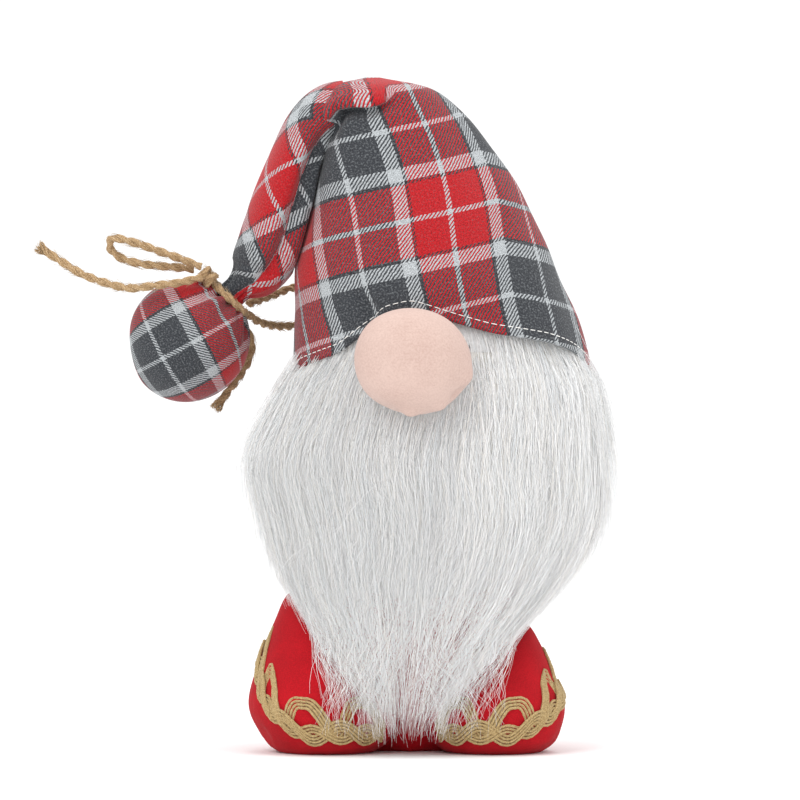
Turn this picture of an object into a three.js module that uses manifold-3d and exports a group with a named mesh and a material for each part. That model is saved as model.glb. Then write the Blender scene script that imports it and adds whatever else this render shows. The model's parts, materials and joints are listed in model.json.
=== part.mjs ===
// A stuffed cloth gnome: a weighted red body on two padded boots, a long-pile beard, a round nose,
// and a plaid hat folded over into a tail that ends in a bobble tied off with jute twine.
// Millimetres, +Z up, the face looks towards -Y. The origin is on the surface it stands on,
// under the middle of the flat base.
import * as THREE from "three";
import { mergeVertices } from "three/addons/utils/BufferGeometryUtils.js";
import Module from "manifold-3d";

const HEIGHT = 250; // from the soles to the top of the folded hat
const CLOTH = 1.2; // thickness of the brushed cotton, seams averaged in
const GAP = 0.4; // clearance between pieces that touch
const BOARD = 1.8; // thickness of the cardboard stiffeners
const BACKING = 1.4; // knitted backing of the fur
const TWINE = 3; // diameter of the jute twine
const SIDES = 24; // points around a large soft ring
const SMALL_SIDES = 16; // points around a small soft ring
const TWINE_SIDES = 8;
const STEPS = 2; // rings made for each station of an outline

const HEM_HEIGHT = 141; // of the hat's hem at the two sides
const HEM_SLOPE = 0.28; // how much it drops per millimetre towards the back
const FOLD = { x: -30, z: 236, radius: 13 }; // axis that the hat's tail folds about, along Y
const NECK = { x: -67.5, z: 168, radius: 6 }; // where the tail is gathered and tied
const BOBBLE = { radius: 22.3, depth: 21.5, opening: 8.5 };
const NOSE = { x: 1, y: -62, z: 145, width: 42, depth: 36, height: 38, opening: 8 };

// The body's level rings, from its flat base up to the gathered top inside the hat.
const BODY = [
  { z: 0, x: 0, y: 8, a: 34, b: 32 },
  { z: 12, x: 0, y: 8, a: 38, b: 36 },
  { z: 60, x: 2, y: 5, a: 44, b: 41 },
  { z: 105, x: 7, y: 2, a: 50, b: 45 },
  { z: 140, x: 10, y: 0, a: 49, b: 45 },
  { z: 168, x: 8, y: 0, a: 39, b: 37 },
  { z: 186, x: 5, y: 0, a: 15, b: 15 },
];

// The hat's level rings, from below the hem to the rounded top of the fold.
const HAT = [
  { z: 118, x: 12, y: 1, a: 57, b: 53 },
  { z: 150, x: 12, y: 0, a: 55, b: 51 },
  { z: 180, x: 5.5, y: 0, a: 49, b: 45 },
  { z: 208, x: 2.5, y: 0, a: 38, b: 35 },
  { z: 232, x: -4.5, y: 0, a: 27.5, b: 26 },
  { z: 244, x: -8, y: 0, a: 19, b: 18 },
  { z: HEIGHT, x: -10, y: 0, a: 5, b: 5 },
];

// Level rings of the two boots. The left one stands a little taller against the body.
const BOOTS = {
  left: [
    { z: 0, x: -31, y: -22, a: 18, b: 21 },
    { z: 7, x: -31, y: -23, a: 24, b: 27 },
    { z: 18, x: -33, y: -23, a: 27, b: 29 },
    { z: 36, x: -35, y: -20, a: 20, b: 23 },
    { z: 50, x: -38, y: -16, a: 11, b: 14 },
    { z: 59, x: -41, y: -13, a: 4, b: 5 },
  ],
  right: [
    { z: 0, x: 31, y: -22, a: 18, b: 21 },
    { z: 7, x: 31, y: -23, a: 24, b: 27 },
    { z: 18, x: 31.5, y: -23, a: 26, b: 29 },
    { z: 30, x: 33, y: -20, a: 19, b: 23 },
    { z: 41, x: 37, y: -17, a: 10, b: 13 },
    { z: 48, x: 40, y: -14, a: 4, b: 5 },
  ],
};

// The fur's outer envelope, from the drawn-out tip of the beard up to where it goes under the hat.
const PILE = [
  { z: 4, x: 0, y: -50, a: 4, b: 4 },
  { z: 16, x: 0, y: -50, a: 11, b: 8 },
  { z: 38, x: 1, y: -43, a: 31, b: 18 },
  { z: 60, x: 3, y: -28, a: 48, b: 33 },
  { z: 85, x: 7, y: -16, a: 64, b: 43 },
  { z: 108, x: 5, y: -11, a: 70, b: 46 },
  { z: 128, x: 9, y: -8, a: 63, b: 46 },
  { z: 158, x: 12, y: -3, a: 50, b: 42 },
];

// The tail's spine from inside the fold down to the gathered neck, with half-widths across it
// in the plane of the fold (a) and front to back (b).
const TAIL = [
  { x: -24, z: 241, a: 9, b: 15 },
  { x: -31, z: 237, a: 10, b: 16 },
  { x: -39, z: 230, a: 9, b: 16 },
  { x: -44, z: 217.5, a: 6.8, b: 18 },
  { x: -48, z: 204, a: 8.8, b: 19 },
  { x: -52.2, z: 191, a: 10.4, b: 18 },
  { x: -54.5, z: 183, a: 10.2, b: 14 },
  { x: -58.5, z: 176, a: 9.4, b: 10 },
  { x: -63.5, z: 171.8, a: 6, b: 6 },
  { x: NECK.x, z: NECK.z, a: NECK.radius - 0.2, b: NECK.radius - 0.2 },
];

// Routes of the twine's free stretches, chosen by hand: a bow of two loops and two ends.
const ROUTES = {
  twine_loop_left: [
    [-77.6, -9.5, 179.5],
    [-91, -12, 184.5],
    [-104, -13, 189],
    [-110.5, -11, 190],
    [-111.5, -8, 186.5],
    [-108, -6, 183],
    [-100, -7, 180.6],
    [-91, -6.5, 179.6],
    [-80.5, -5, 178.6],
  ],
  twine_end_left: [
    [-77.5, -12.5, 175.5],
    [-86, -17, 173.5],
    [-95, -19, 172.5],
    [-103, -18, 171.5],
    [-111, -16, 173],
    [-121, -14, 176.5],
    [-129.5, -13, 181.5],
    [-138, -12, 187],
  ],
  twine_loop_right: [
    [-60.5, 9.5, 161.5],
    [-56, 17, 158.5],
    [-49.5, 27, 157],
    [-42, 37, 157.5],
    [-35, 46, 160],
    [-33, 50, 166],
    [-37, 48, 171],
    [-44, 40, 171.5],
    [-52, 30, 168.5],
    [-60.5, 17, 165.5],
  ],
  twine_end_right: [
    [-62.8, 12.5, 158.5],
    [-59.5, 19, 151],
    [-61, 19, 143.5],
    [-65, 15, 137],
    [-69, 10, 131.5],
    [-72.7, 8, 126.4],
  ],
};

const COLOUR = {
  redCloth: 0xcd1c2a,
  plaid: 0xa82c34,
  fur: 0xf1f1f0,
  knit: 0xe4e2dc,
  skin: 0xe9c4ac,
  fill: 0xf5f4f0,
  jute: 0xc49860,
  card: 0xa98a62,
  pellets: 0xd8d6cf,
};

const wasm = await Module();
wasm.setup();

const gnome = new THREE.Group();

// Adds one named piece with a plain material of its own.
function add(name, geometry, colour, roughness = 0.9) {
  const material = new THREE.MeshStandardMaterial({ color: colour, roughness, metalness: 0 });
  const mesh = new THREE.Mesh(geometry, material);
  mesh.name = name;
  gnome.add(mesh);
}

// ---- Rings, skins and patches ------------------------------------------------------------------

// Catmull-Rom value between q and r, with p before them and s after.
function between(p, q, r, s, t) {
  const bend = 2 * p - 5 * q + 4 * r - s;
  const twist = 3 * q - p - 3 * r + s;
  return 0.5 * (2 * q + (r - p) * t + bend * t * t + twist * t * t * t);
}

// A smooth run through the stations, every field interpolated alike, with steps rows per station.
function smooth(stations, steps) {
  const last = stations.length - 1;
  const at = (i) => stations[Math.min(Math.max(i, 0), last)];
  const rows = [];
  for (let n = 0; n <= last * steps; n++) {
    const i = Math.min(Math.floor(n / steps), last - 1);
    const t = n / steps - i;
    const row = {};
    for (const key of Object.keys(stations[0])) {
      row[key] = between(at(i - 1)[key], at(i)[key], at(i + 1)[key], at(i + 2)[key], t);
    }
    rows.push(row);
  }
  return rows;
}

// The rows grown outwards (or drawn in, when negative), with the two ends moved by their own amounts.
function grown(rows, amount, foot = 0, head = 0) {
  return rows.map((row, i) => ({
    ...row,
    a: Math.max(row.a + amount, 0.8),
    b: Math.max(row.b + amount, 0.8),
    z: row.z + (i === 0 ? foot : 0) + (i === rows.length - 1 ? head : 0),
  }));
}

// The row at a height, between the two rows around it.
function rowAt(rows, height) {
  const above = Math.max(rows.findIndex((row) => row.z >= height), 1);
  const [low, high] = [rows[above - 1], rows[above]];
  const t = (height - low.z) / (high.z - low.z);
  const row = {};
  for (const key of Object.keys(low)) row[key] = low[key] + (high[key] - low[key]) * t;
  return row;
}

// The stretch of the rows between two heights, with a row made at each of them.
function stretch(rows, from, to) {
  const inner = rows.filter((row) => row.z > from + 1 && row.z < to - 1);
  return [rowAt(rows, from), ...inner, rowAt(rows, to)];
}

// A point of a level ring at an angle from +X towards +Y.
function ringPoint({ x, y, z, a, b }, angle) {
  return new THREE.Vector3(x + a * Math.cos(angle), y + b * Math.sin(angle), z);
}

function levelRing(row, sides = SIDES) {
  return Array.from({ length: sides }, (_, i) => ringPoint(row, (2 * Math.PI * i) / sides));
}

// A geometry of loose triangles, turned inside out when its faces point inwards.
function facingOut(positions) {
  let volume = 0;
  const [p, q, r] = [new THREE.Vector3(), new THREE.Vector3(), new THREE.Vector3()];
  for (let i = 0; i < positions.length; i += 9) {
    p.fromArray(positions, i);
    q.fromArray(positions, i + 3);
    r.fromArray(positions, i + 6);
    volume += p.dot(q.cross(r));
  }
  if (volume < 0) {
    for (let i = 0; i < positions.length; i += 9) {
      const second = positions.slice(i + 3, i + 6);
      positions.splice(i + 3, 3, ...positions.slice(i + 6, i + 9));
      positions.splice(i + 6, 3, ...second);
    }
  }
  const geometry = new THREE.BufferGeometry();
  geometry.setAttribute("position", new THREE.Float32BufferAttribute(positions, 3));
  return geometry;
}

// A closed skin through a run of rings with a fan over each end, or joined end to end as a loop.
function skin(rings, loop = false) {
  const positions = [];
  const triangle = (...points) => points.forEach((point) => positions.push(...point));
  const sides = rings[0].length;
  const spans = loop ? rings.length : rings.length - 1;
  for (let r = 0; r < spans; r++) {
    const lower = rings[r];
    const upper = rings[(r + 1) % rings.length];
    for (let i = 0; i < sides; i++) {
      const j = (i + 1) % sides;
      triangle(lower[i], lower[j], upper[j]);
      triangle(lower[i], upper[j], upper[i]);
    }
  }
  if (!loop) {
    for (const [ring, forward] of [[rings[0], false], [rings.at(-1), true]]) {
      const centre = ring.reduce((sum, point) => sum.add(point), new THREE.Vector3());
      centre.divideScalar(sides);
      for (let i = 0; i < sides; i++) {
        const j = (i + 1) % sides;
        triangle(centre, ring[forward ? i : j], ring[forward ? j : i]);
      }
    }
  }
  return facingOut(positions);
}

const solid = (rows) => skin(rows.map((row) => levelRing(row)));

// A thin sheet over a surface: place(u, v, lift) gives the point at 0..1, 0..1 and a height off it.
function sheet(place, columns, rows, low, high) {
  const outline = (u) => {
    const side = (lift) => Array.from({ length: rows + 1 }, (_, i) => place(u, i / rows, lift));
    return [...side(high), ...side(low).reverse()];
  };
  return skin(Array.from({ length: columns + 1 }, (_, i) => outline(i / columns)));
}

// ---- Joining and cutting -----------------------------------------------------------------------

function manifold(geometry) {
  const flat = geometry.index ? geometry.toNonIndexed() : geometry;
  const merged = mergeVertices(facingOut([...flat.attributes.position.array]), 1e-3);
  return new wasm.Manifold(new wasm.Mesh({
    numProp: 3,
    vertProperties: merged.attributes.position.array,
    triVerts: new Uint32Array(merged.index.array),
  }));
}

// The largest body of a geometry with the given geometries cut away.
function cut(geometry, ...tools) {
  let result = manifold(geometry);
  for (const tool of tools) result = result.subtract(manifold(tool));
  const [largest] = result.decompose().sort((p, q) => q.volume() - p.volume());
  const { vertProperties, triVerts } = largest.getMesh();
  const made = new THREE.BufferGeometry();
  made.setAttribute("position", new THREE.BufferAttribute(vertProperties, 3));
  made.setIndex(new THREE.BufferAttribute(triVerts, 1));
  return made.toNonIndexed();
}

// ---- Body --------------------------------------------------------------------------------------

const bodyRows = smooth(BODY, STEPS);

const coverRings = [
  ...bodyRows.map((row) => levelRing(row)),
  ...grown(bodyRows, -CLOTH, CLOTH).reverse().map((row) => levelRing(row)),
];
add("body_cover", skin(coverRings), COLOUR.redCloth);

const boardRow = { ...BODY[0], a: BODY[0].a - 3, b: BODY[0].b - 3 };
const boardTop = CLOTH + GAP + BOARD;
add(
  "base_board",
  solid([{ ...boardRow, z: CLOTH + GAP }, { ...boardRow, z: boardTop }]),
  COLOUR.card,
);

const BAG_TOP = 36; // the pellet bag fills the lower part, so that the figure stands firmly
const bagRows = grown(stretch(bodyRows, boardTop + GAP, BAG_TOP), -CLOTH - 2);
add("pellet_bag", solid(bagRows), COLOUR.pellets);

const BODY_TOP = BODY.at(-1).z;
const bodyFill = grown(stretch(bodyRows, BAG_TOP + 1, BODY_TOP - 2), -CLOTH - GAP);
add("body_stuffing", solid(bodyFill), COLOUR.fill);

// ---- Hat ---------------------------------------------------------------------------------------

const hatRows = smooth(HAT, STEPS);
const hatOuter = solid(hatRows);
const hatInner = solid(grown(hatRows, -CLOTH, -CLOTH, -CLOTH));

// Everything below the sloping hem, as a block with a tilted top.
function belowHem(lift) {
  const half = 120;
  const block = new THREE.BoxGeometry(2 * half, 2 * half, 2 * half);
  block.translate(0, 0, -half);
  block.rotateX(-Math.atan(HEM_SLOPE));
  block.translate(0, 0, HEM_HEIGHT + lift);
  return block;
}

// A round bar along the fold's axis, which the hat keeps clear of so that the tail can turn.
function foldBar(radius) {
  const bar = new THREE.CylinderGeometry(radius, radius, 140, SIDES);
  bar.translate(FOLD.x, 0, FOLD.z);
  return bar;
}

function ellipsoid(width, depth, height, at, sides = SIDES) {
  const ball = new THREE.SphereGeometry(1, sides, sides / 2);
  ball.rotateX(Math.PI / 2);
  ball.scale(width / 2, depth / 2, height / 2);
  ball.translate(at.x, at.y, at.z);
  return ball;
}
const noseRoom = ellipsoid(NOSE.width + 2 * GAP, NOSE.depth + 2 * GAP, NOSE.height + 2 * GAP, NOSE);

add(
  "hat_cone",
  cut(hatOuter, hatInner, belowHem(0), foldBar(FOLD.radius + 1), noseRoom),
  COLOUR.plaid,
);

const hatFill = grown(stretch(hatRows, BODY_TOP + 1, HEIGHT - 4), -CLOTH - 1);
add("hat_stuffing", cut(solid(hatFill), foldBar(FOLD.radius + 2)), COLOUR.fill);

// ---- Boots -------------------------------------------------------------------------------------

const bodyRoom = solid(grown(bodyRows, GAP, -2));
const bootRoom = []; // what the beard must keep clear of

// A point on the surface through the rows at a height, by angle, lifted off it.
function surfacePoint(rows, height, angle, lift) {
  const row = rowAt(rows, height);
  return ringPoint({ ...row, a: row.a + lift, b: row.b + lift }, angle);
}

const BRAID = { height: 13, thickness: 2.2, low: 9, climb: 20 };

for (const [side, stations] of Object.entries(BOOTS)) {
  const rows = smooth(stations, STEPS);
  const outer = solid(rows);
  const inner = solid(grown(rows, -CLOTH, CLOTH, -CLOTH));
  add(`boot_${side}_cover`, cut(outer, inner, bodyRoom), COLOUR.redCloth);

  const foot = { ...stations[0], a: stations[0].a - 2, b: stations[0].b - 2 };
  const insole = solid([{ ...foot, z: CLOTH + GAP }, { ...foot, z: boardTop }]);
  const fill = solid(grown(rows, -CLOTH - GAP, boardTop + GAP, -CLOTH - 1));
  const standOff = solid(grown(bodyRows, GAP + 1, -2));
  add(`boot_${side}_insole`, cut(insole, bodyRoom), COLOUR.card);
  add(`boot_${side}_stuffing`, cut(fill, standOff), COLOUR.fill);

  // The braid runs from the inner edge round the toe and climbs the outer side.
  const outward = side === "left" ? -1 : 1;
  const braid = (u, v, lift) => {
    const sweep = THREE.MathUtils.degToRad(-90 + outward * (95 * u - 55 * (1 - u)));
    const climb = BRAID.climb * THREE.MathUtils.smoothstep(u, 0.45, 1);
    return surfacePoint(rows, BRAID.low + climb + BRAID.height * v, sweep, lift);
  };
  const band = sheet(braid, 14, 3, 0, GAP + BRAID.thickness);
  add(`boot_${side}_braid`, cut(band, solid(grown(rows, GAP, -1, 1)), bodyRoom), COLOUR.jute);
  bootRoom.push(solid(grown(rows, 2 * GAP + BRAID.thickness, -2, 2)));
}

// ---- Beard and nose ----------------------------------------------------------------------------

const BACKING_EDGE = { low: 62, high: 148, reach: 100 }; // heights, and degrees either side of the face
const backing = (u, v, lift) => {
  const reach = THREE.MathUtils.degToRad(BACKING_EDGE.reach);
  const height = BACKING_EDGE.low + (BACKING_EDGE.high - BACKING_EDGE.low) * v;
  return surfacePoint(bodyRows, height, -Math.PI / 2 + reach * (2 * u - 1), lift);
};
const backingSheet = sheet(backing, 20, 7, 0, GAP + BACKING);
add("beard_backing", cut(backingSheet, bodyRoom), COLOUR.knit);

const backingRoom = solid(grown(bodyRows, 2 * GAP + BACKING + 0.2, -2));
const hatRoom = cut(solid(grown(hatRows, GAP)), belowHem(-GAP));
add(
  "beard_pile",
  cut(solid(smooth(PILE, STEPS)), backingRoom, hatRoom, noseRoom, ...bootRoom),
  COLOUR.fur,
);

// A round cover with its sewing-up hole at the pole on the given axis, and the fill inside it,
// both flattened where they press on the given solids.
function stuffedBall(name, size, opening, turn, at, colour, fillTop, pressedOn = []) {
  const start = Math.asin(opening);
  const arc = (radius, from, count) =>
    Array.from({ length: count + 1 }, (_, i) => {
      const angle = from + ((Math.PI - from) * i) / count;
      return new THREE.Vector2(radius * Math.sin(angle), radius * Math.cos(angle));
    });
  const thin = 1 - (2 * CLOTH) / size.width;
  const profile = [...arc(1, start, 9), ...arc(thin, start, 9).reverse()];
  profile.push(profile[0].clone());
  const cover = new THREE.LatheGeometry(profile, SMALL_SIDES);
  const inside = thin - 0.03;
  const fill = arc(inside, Math.acos(fillTop), 7);
  fill.unshift(new THREE.Vector2(0, fill[0].y));
  const wad = new THREE.LatheGeometry(fill, SMALL_SIDES);
  for (const geometry of [cover, wad]) {
    geometry.scale(size.width / 2, size.height / 2, size.depth / 2);
    geometry.rotateX(Math.PI / 2);
    geometry.applyQuaternion(turn);
    geometry.translate(at.x, at.y, at.z);
  }
  add(`${name}_cover`, cut(cover, ...pressedOn), colour);
  add(`${name}_stuffing`, cut(wad, ...pressedOn), COLOUR.fill);
}

const noseTurn = new THREE.Quaternion().setFromAxisAngle(new THREE.Vector3(1, 0, 0), -Math.PI / 2);
stuffedBall(
  "nose",
  { width: NOSE.width, height: NOSE.depth, depth: NOSE.height },
  NOSE.opening / (NOSE.width / 2),
  noseTurn,
  NOSE,
  COLOUR.skin,
  0.7,
  [backingRoom],
);

// ---- Tail of the hat ---------------------------------------------------------------------------

// Rings across the tail's spine, which stays in the plane of the fold.
function tailRings(rows, inset) {
  return rows.map((row, i) => {
    const back = rows[Math.max(i - 1, 0)];
    const next = rows[Math.min(i + 1, rows.length - 1)];
    const along = new THREE.Vector3(next.x - back.x, 0, next.z - back.z).normalize();
    const across = new THREE.Vector3(along.z, 0, -along.x);
    return Array.from({ length: SMALL_SIDES }, (_, n) => {
      const angle = (2 * Math.PI * n) / SMALL_SIDES;
      return new THREE.Vector3(row.x, 0, row.z)
        .addScaledVector(across, (row.a - inset) * Math.cos(angle))
        .add(new THREE.Vector3(0, (row.b - inset) * Math.sin(angle), 0));
    });
  });
}

const tailRows = smooth(TAIL, STEPS);
const neckAxis = new THREE.Vector3(-0.695, 0, -0.718); // from the neck towards the bobble

// The gathered end is rounded about the neck, so that the bobble can swing around it.
function roundedEnd(radius, inset) {
  return [0.5, 0.86].map((reach) => {
    const width = Math.sqrt(1 - reach * reach) * radius;
    return {
      x: NECK.x + neckAxis.x * reach * radius,
      z: NECK.z + neckAxis.z * reach * radius,
      a: Math.max(width - inset, 0.5),
      b: Math.max(width - inset, 0.5),
    };
  });
}
const tailOuter = tailRings([...tailRows, ...roundedEnd(NECK.radius, 0)], 0);
const tailInner = tailRings(tailRows, CLOTH).slice(0, -1);
add("tail_cover", skin([...tailInner.reverse(), ...tailOuter]), COLOUR.plaid);
add("tail_stuffing", skin(tailRings(tailRows.slice(1, -3), CLOTH + GAP + 0.4)), COLOUR.fill);

// ---- Bobble and its twine ----------------------------------------------------------------------

const bobbleCentre = new THREE.Vector3(NECK.x, 0, NECK.z).addScaledVector(neckAxis, BOBBLE.radius);
const towardsNeck = new THREE.Quaternion().setFromUnitVectors(
  new THREE.Vector3(0, 0, 1),
  neckAxis.clone().negate(),
);
stuffedBall(
  "bobble",
  { width: 2 * BOBBLE.radius, height: 2 * BOBBLE.radius, depth: 2 * BOBBLE.depth },
  BOBBLE.opening / BOBBLE.radius,
  towardsNeck,
  bobbleCentre,
  COLOUR.plaid,
  0.58,
);

const wrapRadius = NECK.radius + 2 * GAP + 0.1 + TWINE / 2; // room for the neck to tilt inside it
const wrap = new THREE.TorusGeometry(wrapRadius, TWINE / 2, TWINE_SIDES, SMALL_SIDES);
wrap.applyQuaternion(towardsNeck);
wrap.translate(NECK.x, 0, NECK.z);
add("twine_wrap", wrap, COLOUR.jute);

const KNOT = { x: -75.4, y: -7.7, z: 175.8, size: 7 };
add("twine_knot", ellipsoid(KNOT.size, KNOT.size, KNOT.size, KNOT, 12), COLOUR.jute);

for (const [name, route] of Object.entries(ROUTES)) {
  const curve = new THREE.CatmullRomCurve3(route.map((point) => new THREE.Vector3(...point)));
  const section = new THREE.Shape();
  for (let i = 0; i < TWINE_SIDES; i++) {
    const angle = (2 * Math.PI * i) / TWINE_SIDES;
    const x = (TWINE / 2) * Math.cos(angle);
    const y = (TWINE / 2) * Math.sin(angle);
    if (i === 0) section.moveTo(x, y);
    else section.lineTo(x, y);
  }
  const steps = Math.ceil(curve.getLength() / (2 * TWINE));
  add(name, new THREE.ExtrudeGeometry(section, { extrudePath: curve, steps }), COLOUR.jute);
}

export default gnome;
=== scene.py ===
"""A stuffed cloth gnome: plaid flannel hat, fur beard, fleece nose, red cotton body and boots.

Every sub-assembly is a class that holds its sizes in millimetres, builds its meshes in the shared
frame (metres, +Z up, face towards -Y) and dresses them. Repeated things, such as fur fibres, braid
strands, twine plies and stitches, are made by Geometry Nodes trees built here.
"""

from __future__ import annotations

import json
import logging
import math
from collections.abc import Callable, Sequence
from dataclasses import dataclass, field
from enum import Enum

import bmesh
import bpy
import numpy as np
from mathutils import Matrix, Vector

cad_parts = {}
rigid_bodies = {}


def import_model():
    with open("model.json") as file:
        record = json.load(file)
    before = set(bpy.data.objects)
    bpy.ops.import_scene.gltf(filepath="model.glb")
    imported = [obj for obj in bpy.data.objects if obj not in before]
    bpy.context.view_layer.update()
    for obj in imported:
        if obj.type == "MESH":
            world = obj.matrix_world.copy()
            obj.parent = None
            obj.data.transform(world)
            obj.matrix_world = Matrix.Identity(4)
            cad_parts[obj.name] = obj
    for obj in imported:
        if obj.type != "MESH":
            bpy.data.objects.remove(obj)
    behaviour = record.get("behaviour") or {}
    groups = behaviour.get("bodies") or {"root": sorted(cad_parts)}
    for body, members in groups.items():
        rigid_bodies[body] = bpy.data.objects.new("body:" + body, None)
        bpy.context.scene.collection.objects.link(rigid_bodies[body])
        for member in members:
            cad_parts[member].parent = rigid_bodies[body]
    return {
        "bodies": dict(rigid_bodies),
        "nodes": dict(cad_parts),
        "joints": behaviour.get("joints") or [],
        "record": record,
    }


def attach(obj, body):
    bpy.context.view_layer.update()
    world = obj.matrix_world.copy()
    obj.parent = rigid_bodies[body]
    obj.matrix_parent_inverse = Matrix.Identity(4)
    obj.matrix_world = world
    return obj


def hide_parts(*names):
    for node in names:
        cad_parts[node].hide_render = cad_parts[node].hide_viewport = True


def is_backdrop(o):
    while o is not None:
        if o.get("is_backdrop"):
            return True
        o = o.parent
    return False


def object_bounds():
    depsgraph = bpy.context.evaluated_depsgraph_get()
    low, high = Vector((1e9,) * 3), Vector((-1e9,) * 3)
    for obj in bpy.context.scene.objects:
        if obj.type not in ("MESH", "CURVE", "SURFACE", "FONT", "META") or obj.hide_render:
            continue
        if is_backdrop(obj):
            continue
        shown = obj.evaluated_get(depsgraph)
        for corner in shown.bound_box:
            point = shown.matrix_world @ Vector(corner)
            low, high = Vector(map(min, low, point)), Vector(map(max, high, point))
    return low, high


MM = 0.001
TAU = 2 * math.pi
LOG = logging.getLogger("gnome")
Array = np.ndarray


class Body(Enum):
    """The rigid bodies of the frame that a piece can ride on."""

    ROOT = "body"
    TAIL = "tail"
    BOBBLE = "bobble"


class Slot(Enum):
    """The record's material slots that the covers and trims stand for."""

    RED = "red_cotton"
    PLAID = "plaid_flannel"
    FUR = "faux_fur"
    KNIT = "knit_backing"
    FLEECE = "peach_fleece"
    JUTE = "jute"


# ---- Small tools -------------------------------------------------------------------------------


def linear(code: str) -> tuple[float, float, float, float]:
    """Turn an sRGB hex colour into linear RGBA.

    Args:
        code: Six hex digits, such as "cd1c2a".

    Returns:
        The linear red, green and blue, and an alpha of 1.
    """
    parts = [int(code[i : i + 2], 16) / 255 for i in (0, 2, 4)]
    lin = [c / 12.92 if c <= 0.04045 else ((c + 0.055) / 1.055) ** 2.4 for c in parts]
    return (*lin, 1.0)


def add_node(
    tree: bpy.types.NodeTree, kind: str, inputs: dict | None = None, **settings
) -> bpy.types.Node:
    """Add a node with its settings, input values and links.

    Args:
        tree: The node tree that takes the node.
        kind: The node's type identifier.
        inputs: Socket name or index to a value, or to an output socket that is linked to it.
        **settings: Properties of the node.

    Returns:
        The new node.
    """
    made = tree.nodes.new(kind)
    for name, value in settings.items():
        setattr(made, name, value)
    for key, value in (inputs or {}).items():
        if isinstance(value, bpy.types.NodeSocket):
            tree.links.new(value, made.inputs[key])
        else:
            made.inputs[key].default_value = value
    return made


def maths(tree: bpy.types.NodeTree, operation: str, *values, clamp: bool = False):
    """Add a Math node on the given values or sockets and return its output socket."""
    inputs = dict(enumerate(values))
    made = add_node(tree, "ShaderNodeMath", inputs, operation=operation, use_clamp=clamp)
    return made.outputs[0]


def smoothstep(low: float, high: float, value: Array | float) -> Array | float:
    """Rise smoothly from 0 at low to 1 at high."""
    t = np.clip((value - low) / (high - low), 0, 1)
    return t * t * (3 - 2 * t)


def bump(value: Array | float, centre: float, width: float) -> Array | float:
    """A smooth bell of height 1 and the given half-width around a centre."""
    return np.exp(-(((value - centre) / width) ** 2))


def ripple(u: Array, v: Array, seed: int, waves: int = 6, reach: float = 3.0) -> Array:
    """A smooth random relief of about unit size, as a sum of seeded plane waves.

    Args:
        u: First coordinate.
        v: Second coordinate.
        seed: Seed of the waves' directions and phases.
        waves: How many waves are added.
        reach: Largest frequency, in radians per unit of u and v.

    Returns:
        The relief at each point.
    """
    rng = np.random.default_rng(seed)
    total = np.zeros(np.broadcast(u, v).shape)
    for _ in range(waves):
        angle, phase, pace = rng.uniform(0, TAU), rng.uniform(0, TAU), rng.uniform(0.3, 1) * reach
        total = total + np.sin(pace * (u * math.cos(angle) + v * math.sin(angle)) + phase)
    return total / math.sqrt(waves)


def curve_through(stations: Array, count: int) -> Array:
    """Catmull-Rom points through whole stations.

    Args:
        stations: One row of values per station.
        count: How many rows are wanted, spread evenly over the stations.

    Returns:
        The rows of interpolated values.
    """
    s = np.asarray(stations, float)
    padded = np.vstack([2 * s[0] - s[1], s, 2 * s[-1] - s[-2]])
    where = np.linspace(0, len(s) - 1, count)
    i = np.minimum(where.astype(int), len(s) - 2)
    t = (where - i)[:, None]
    p, q, r, w = (padded[i + k] for k in range(4))
    bend = 2 * p - 5 * q + 4 * r - w
    twist = 3 * q - p - 3 * r + w
    return 0.5 * (2 * q + (r - p) * t + bend * t**2 + twist * t**3)


def make_object(
    name: str, verts: Array, faces: Sequence, uv: Array | None = None
) -> bpy.types.Object:
    """Make a smooth mesh object at the origin.

    Args:
        name: The piece's name.
        verts: Vertices in metres.
        faces: Vertex numbers of each face.
        uv: Cloth coordinates in metres for each vertex, if the finish follows the cloth.

    Returns:
        The object, linked to the scene.
    """
    mesh = bpy.data.meshes.new(name)
    mesh.from_pydata(np.asarray(verts).tolist(), [], [list(map(int, f)) for f in faces])
    if uv is not None:
        layer = mesh.uv_layers.new(name="cloth")
        loops = np.empty(len(mesh.loops), dtype=np.int32)
        mesh.loops.foreach_get("vertex_index", loops)
        layer.data.foreach_set("uv", np.asarray(uv)[loops].astype(np.float32).ravel())
    mesh.polygons.foreach_set("use_smooth", [True] * len(mesh.polygons))
    mesh.update()
    made = bpy.data.objects.new(name, mesh)
    bpy.context.scene.collection.objects.link(made)
    return made


def grid_faces(rows: int, columns: int) -> list[tuple]:
    """Quads of a grid of vertices, rows one after another."""
    faces = []
    for low in range(0, (rows - 1) * columns, columns):
        high = low + columns
        for j in range(columns - 1):
            faces.append((low + j, low + j + 1, high + j + 1, high + j))
    return faces


def sheet_object(name: str, grid: Array, uv: Array | None = None) -> bpy.types.Object:
    """Make an object from a grid of points in mm, with an optional grid of cloth coordinates."""
    flat_uv = None if uv is None else uv.reshape(-1, 2)
    return make_object(name, grid.reshape(-1, 3) * MM, grid_faces(*grid.shape[:2]), flat_uv)


def face_out(made: bpy.types.Object) -> None:
    """Close a form's seams and poles, and turn its faces outwards."""
    work = bmesh.new()
    work.from_mesh(made.data)
    bmesh.ops.remove_doubles(work, verts=work.verts, dist=0.02 * MM)
    bmesh.ops.dissolve_degenerate(work, edges=work.edges, dist=0.001 * MM)
    bmesh.ops.recalc_face_normals(work, faces=work.faces)
    work.to_mesh(made.data)
    work.free()


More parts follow.
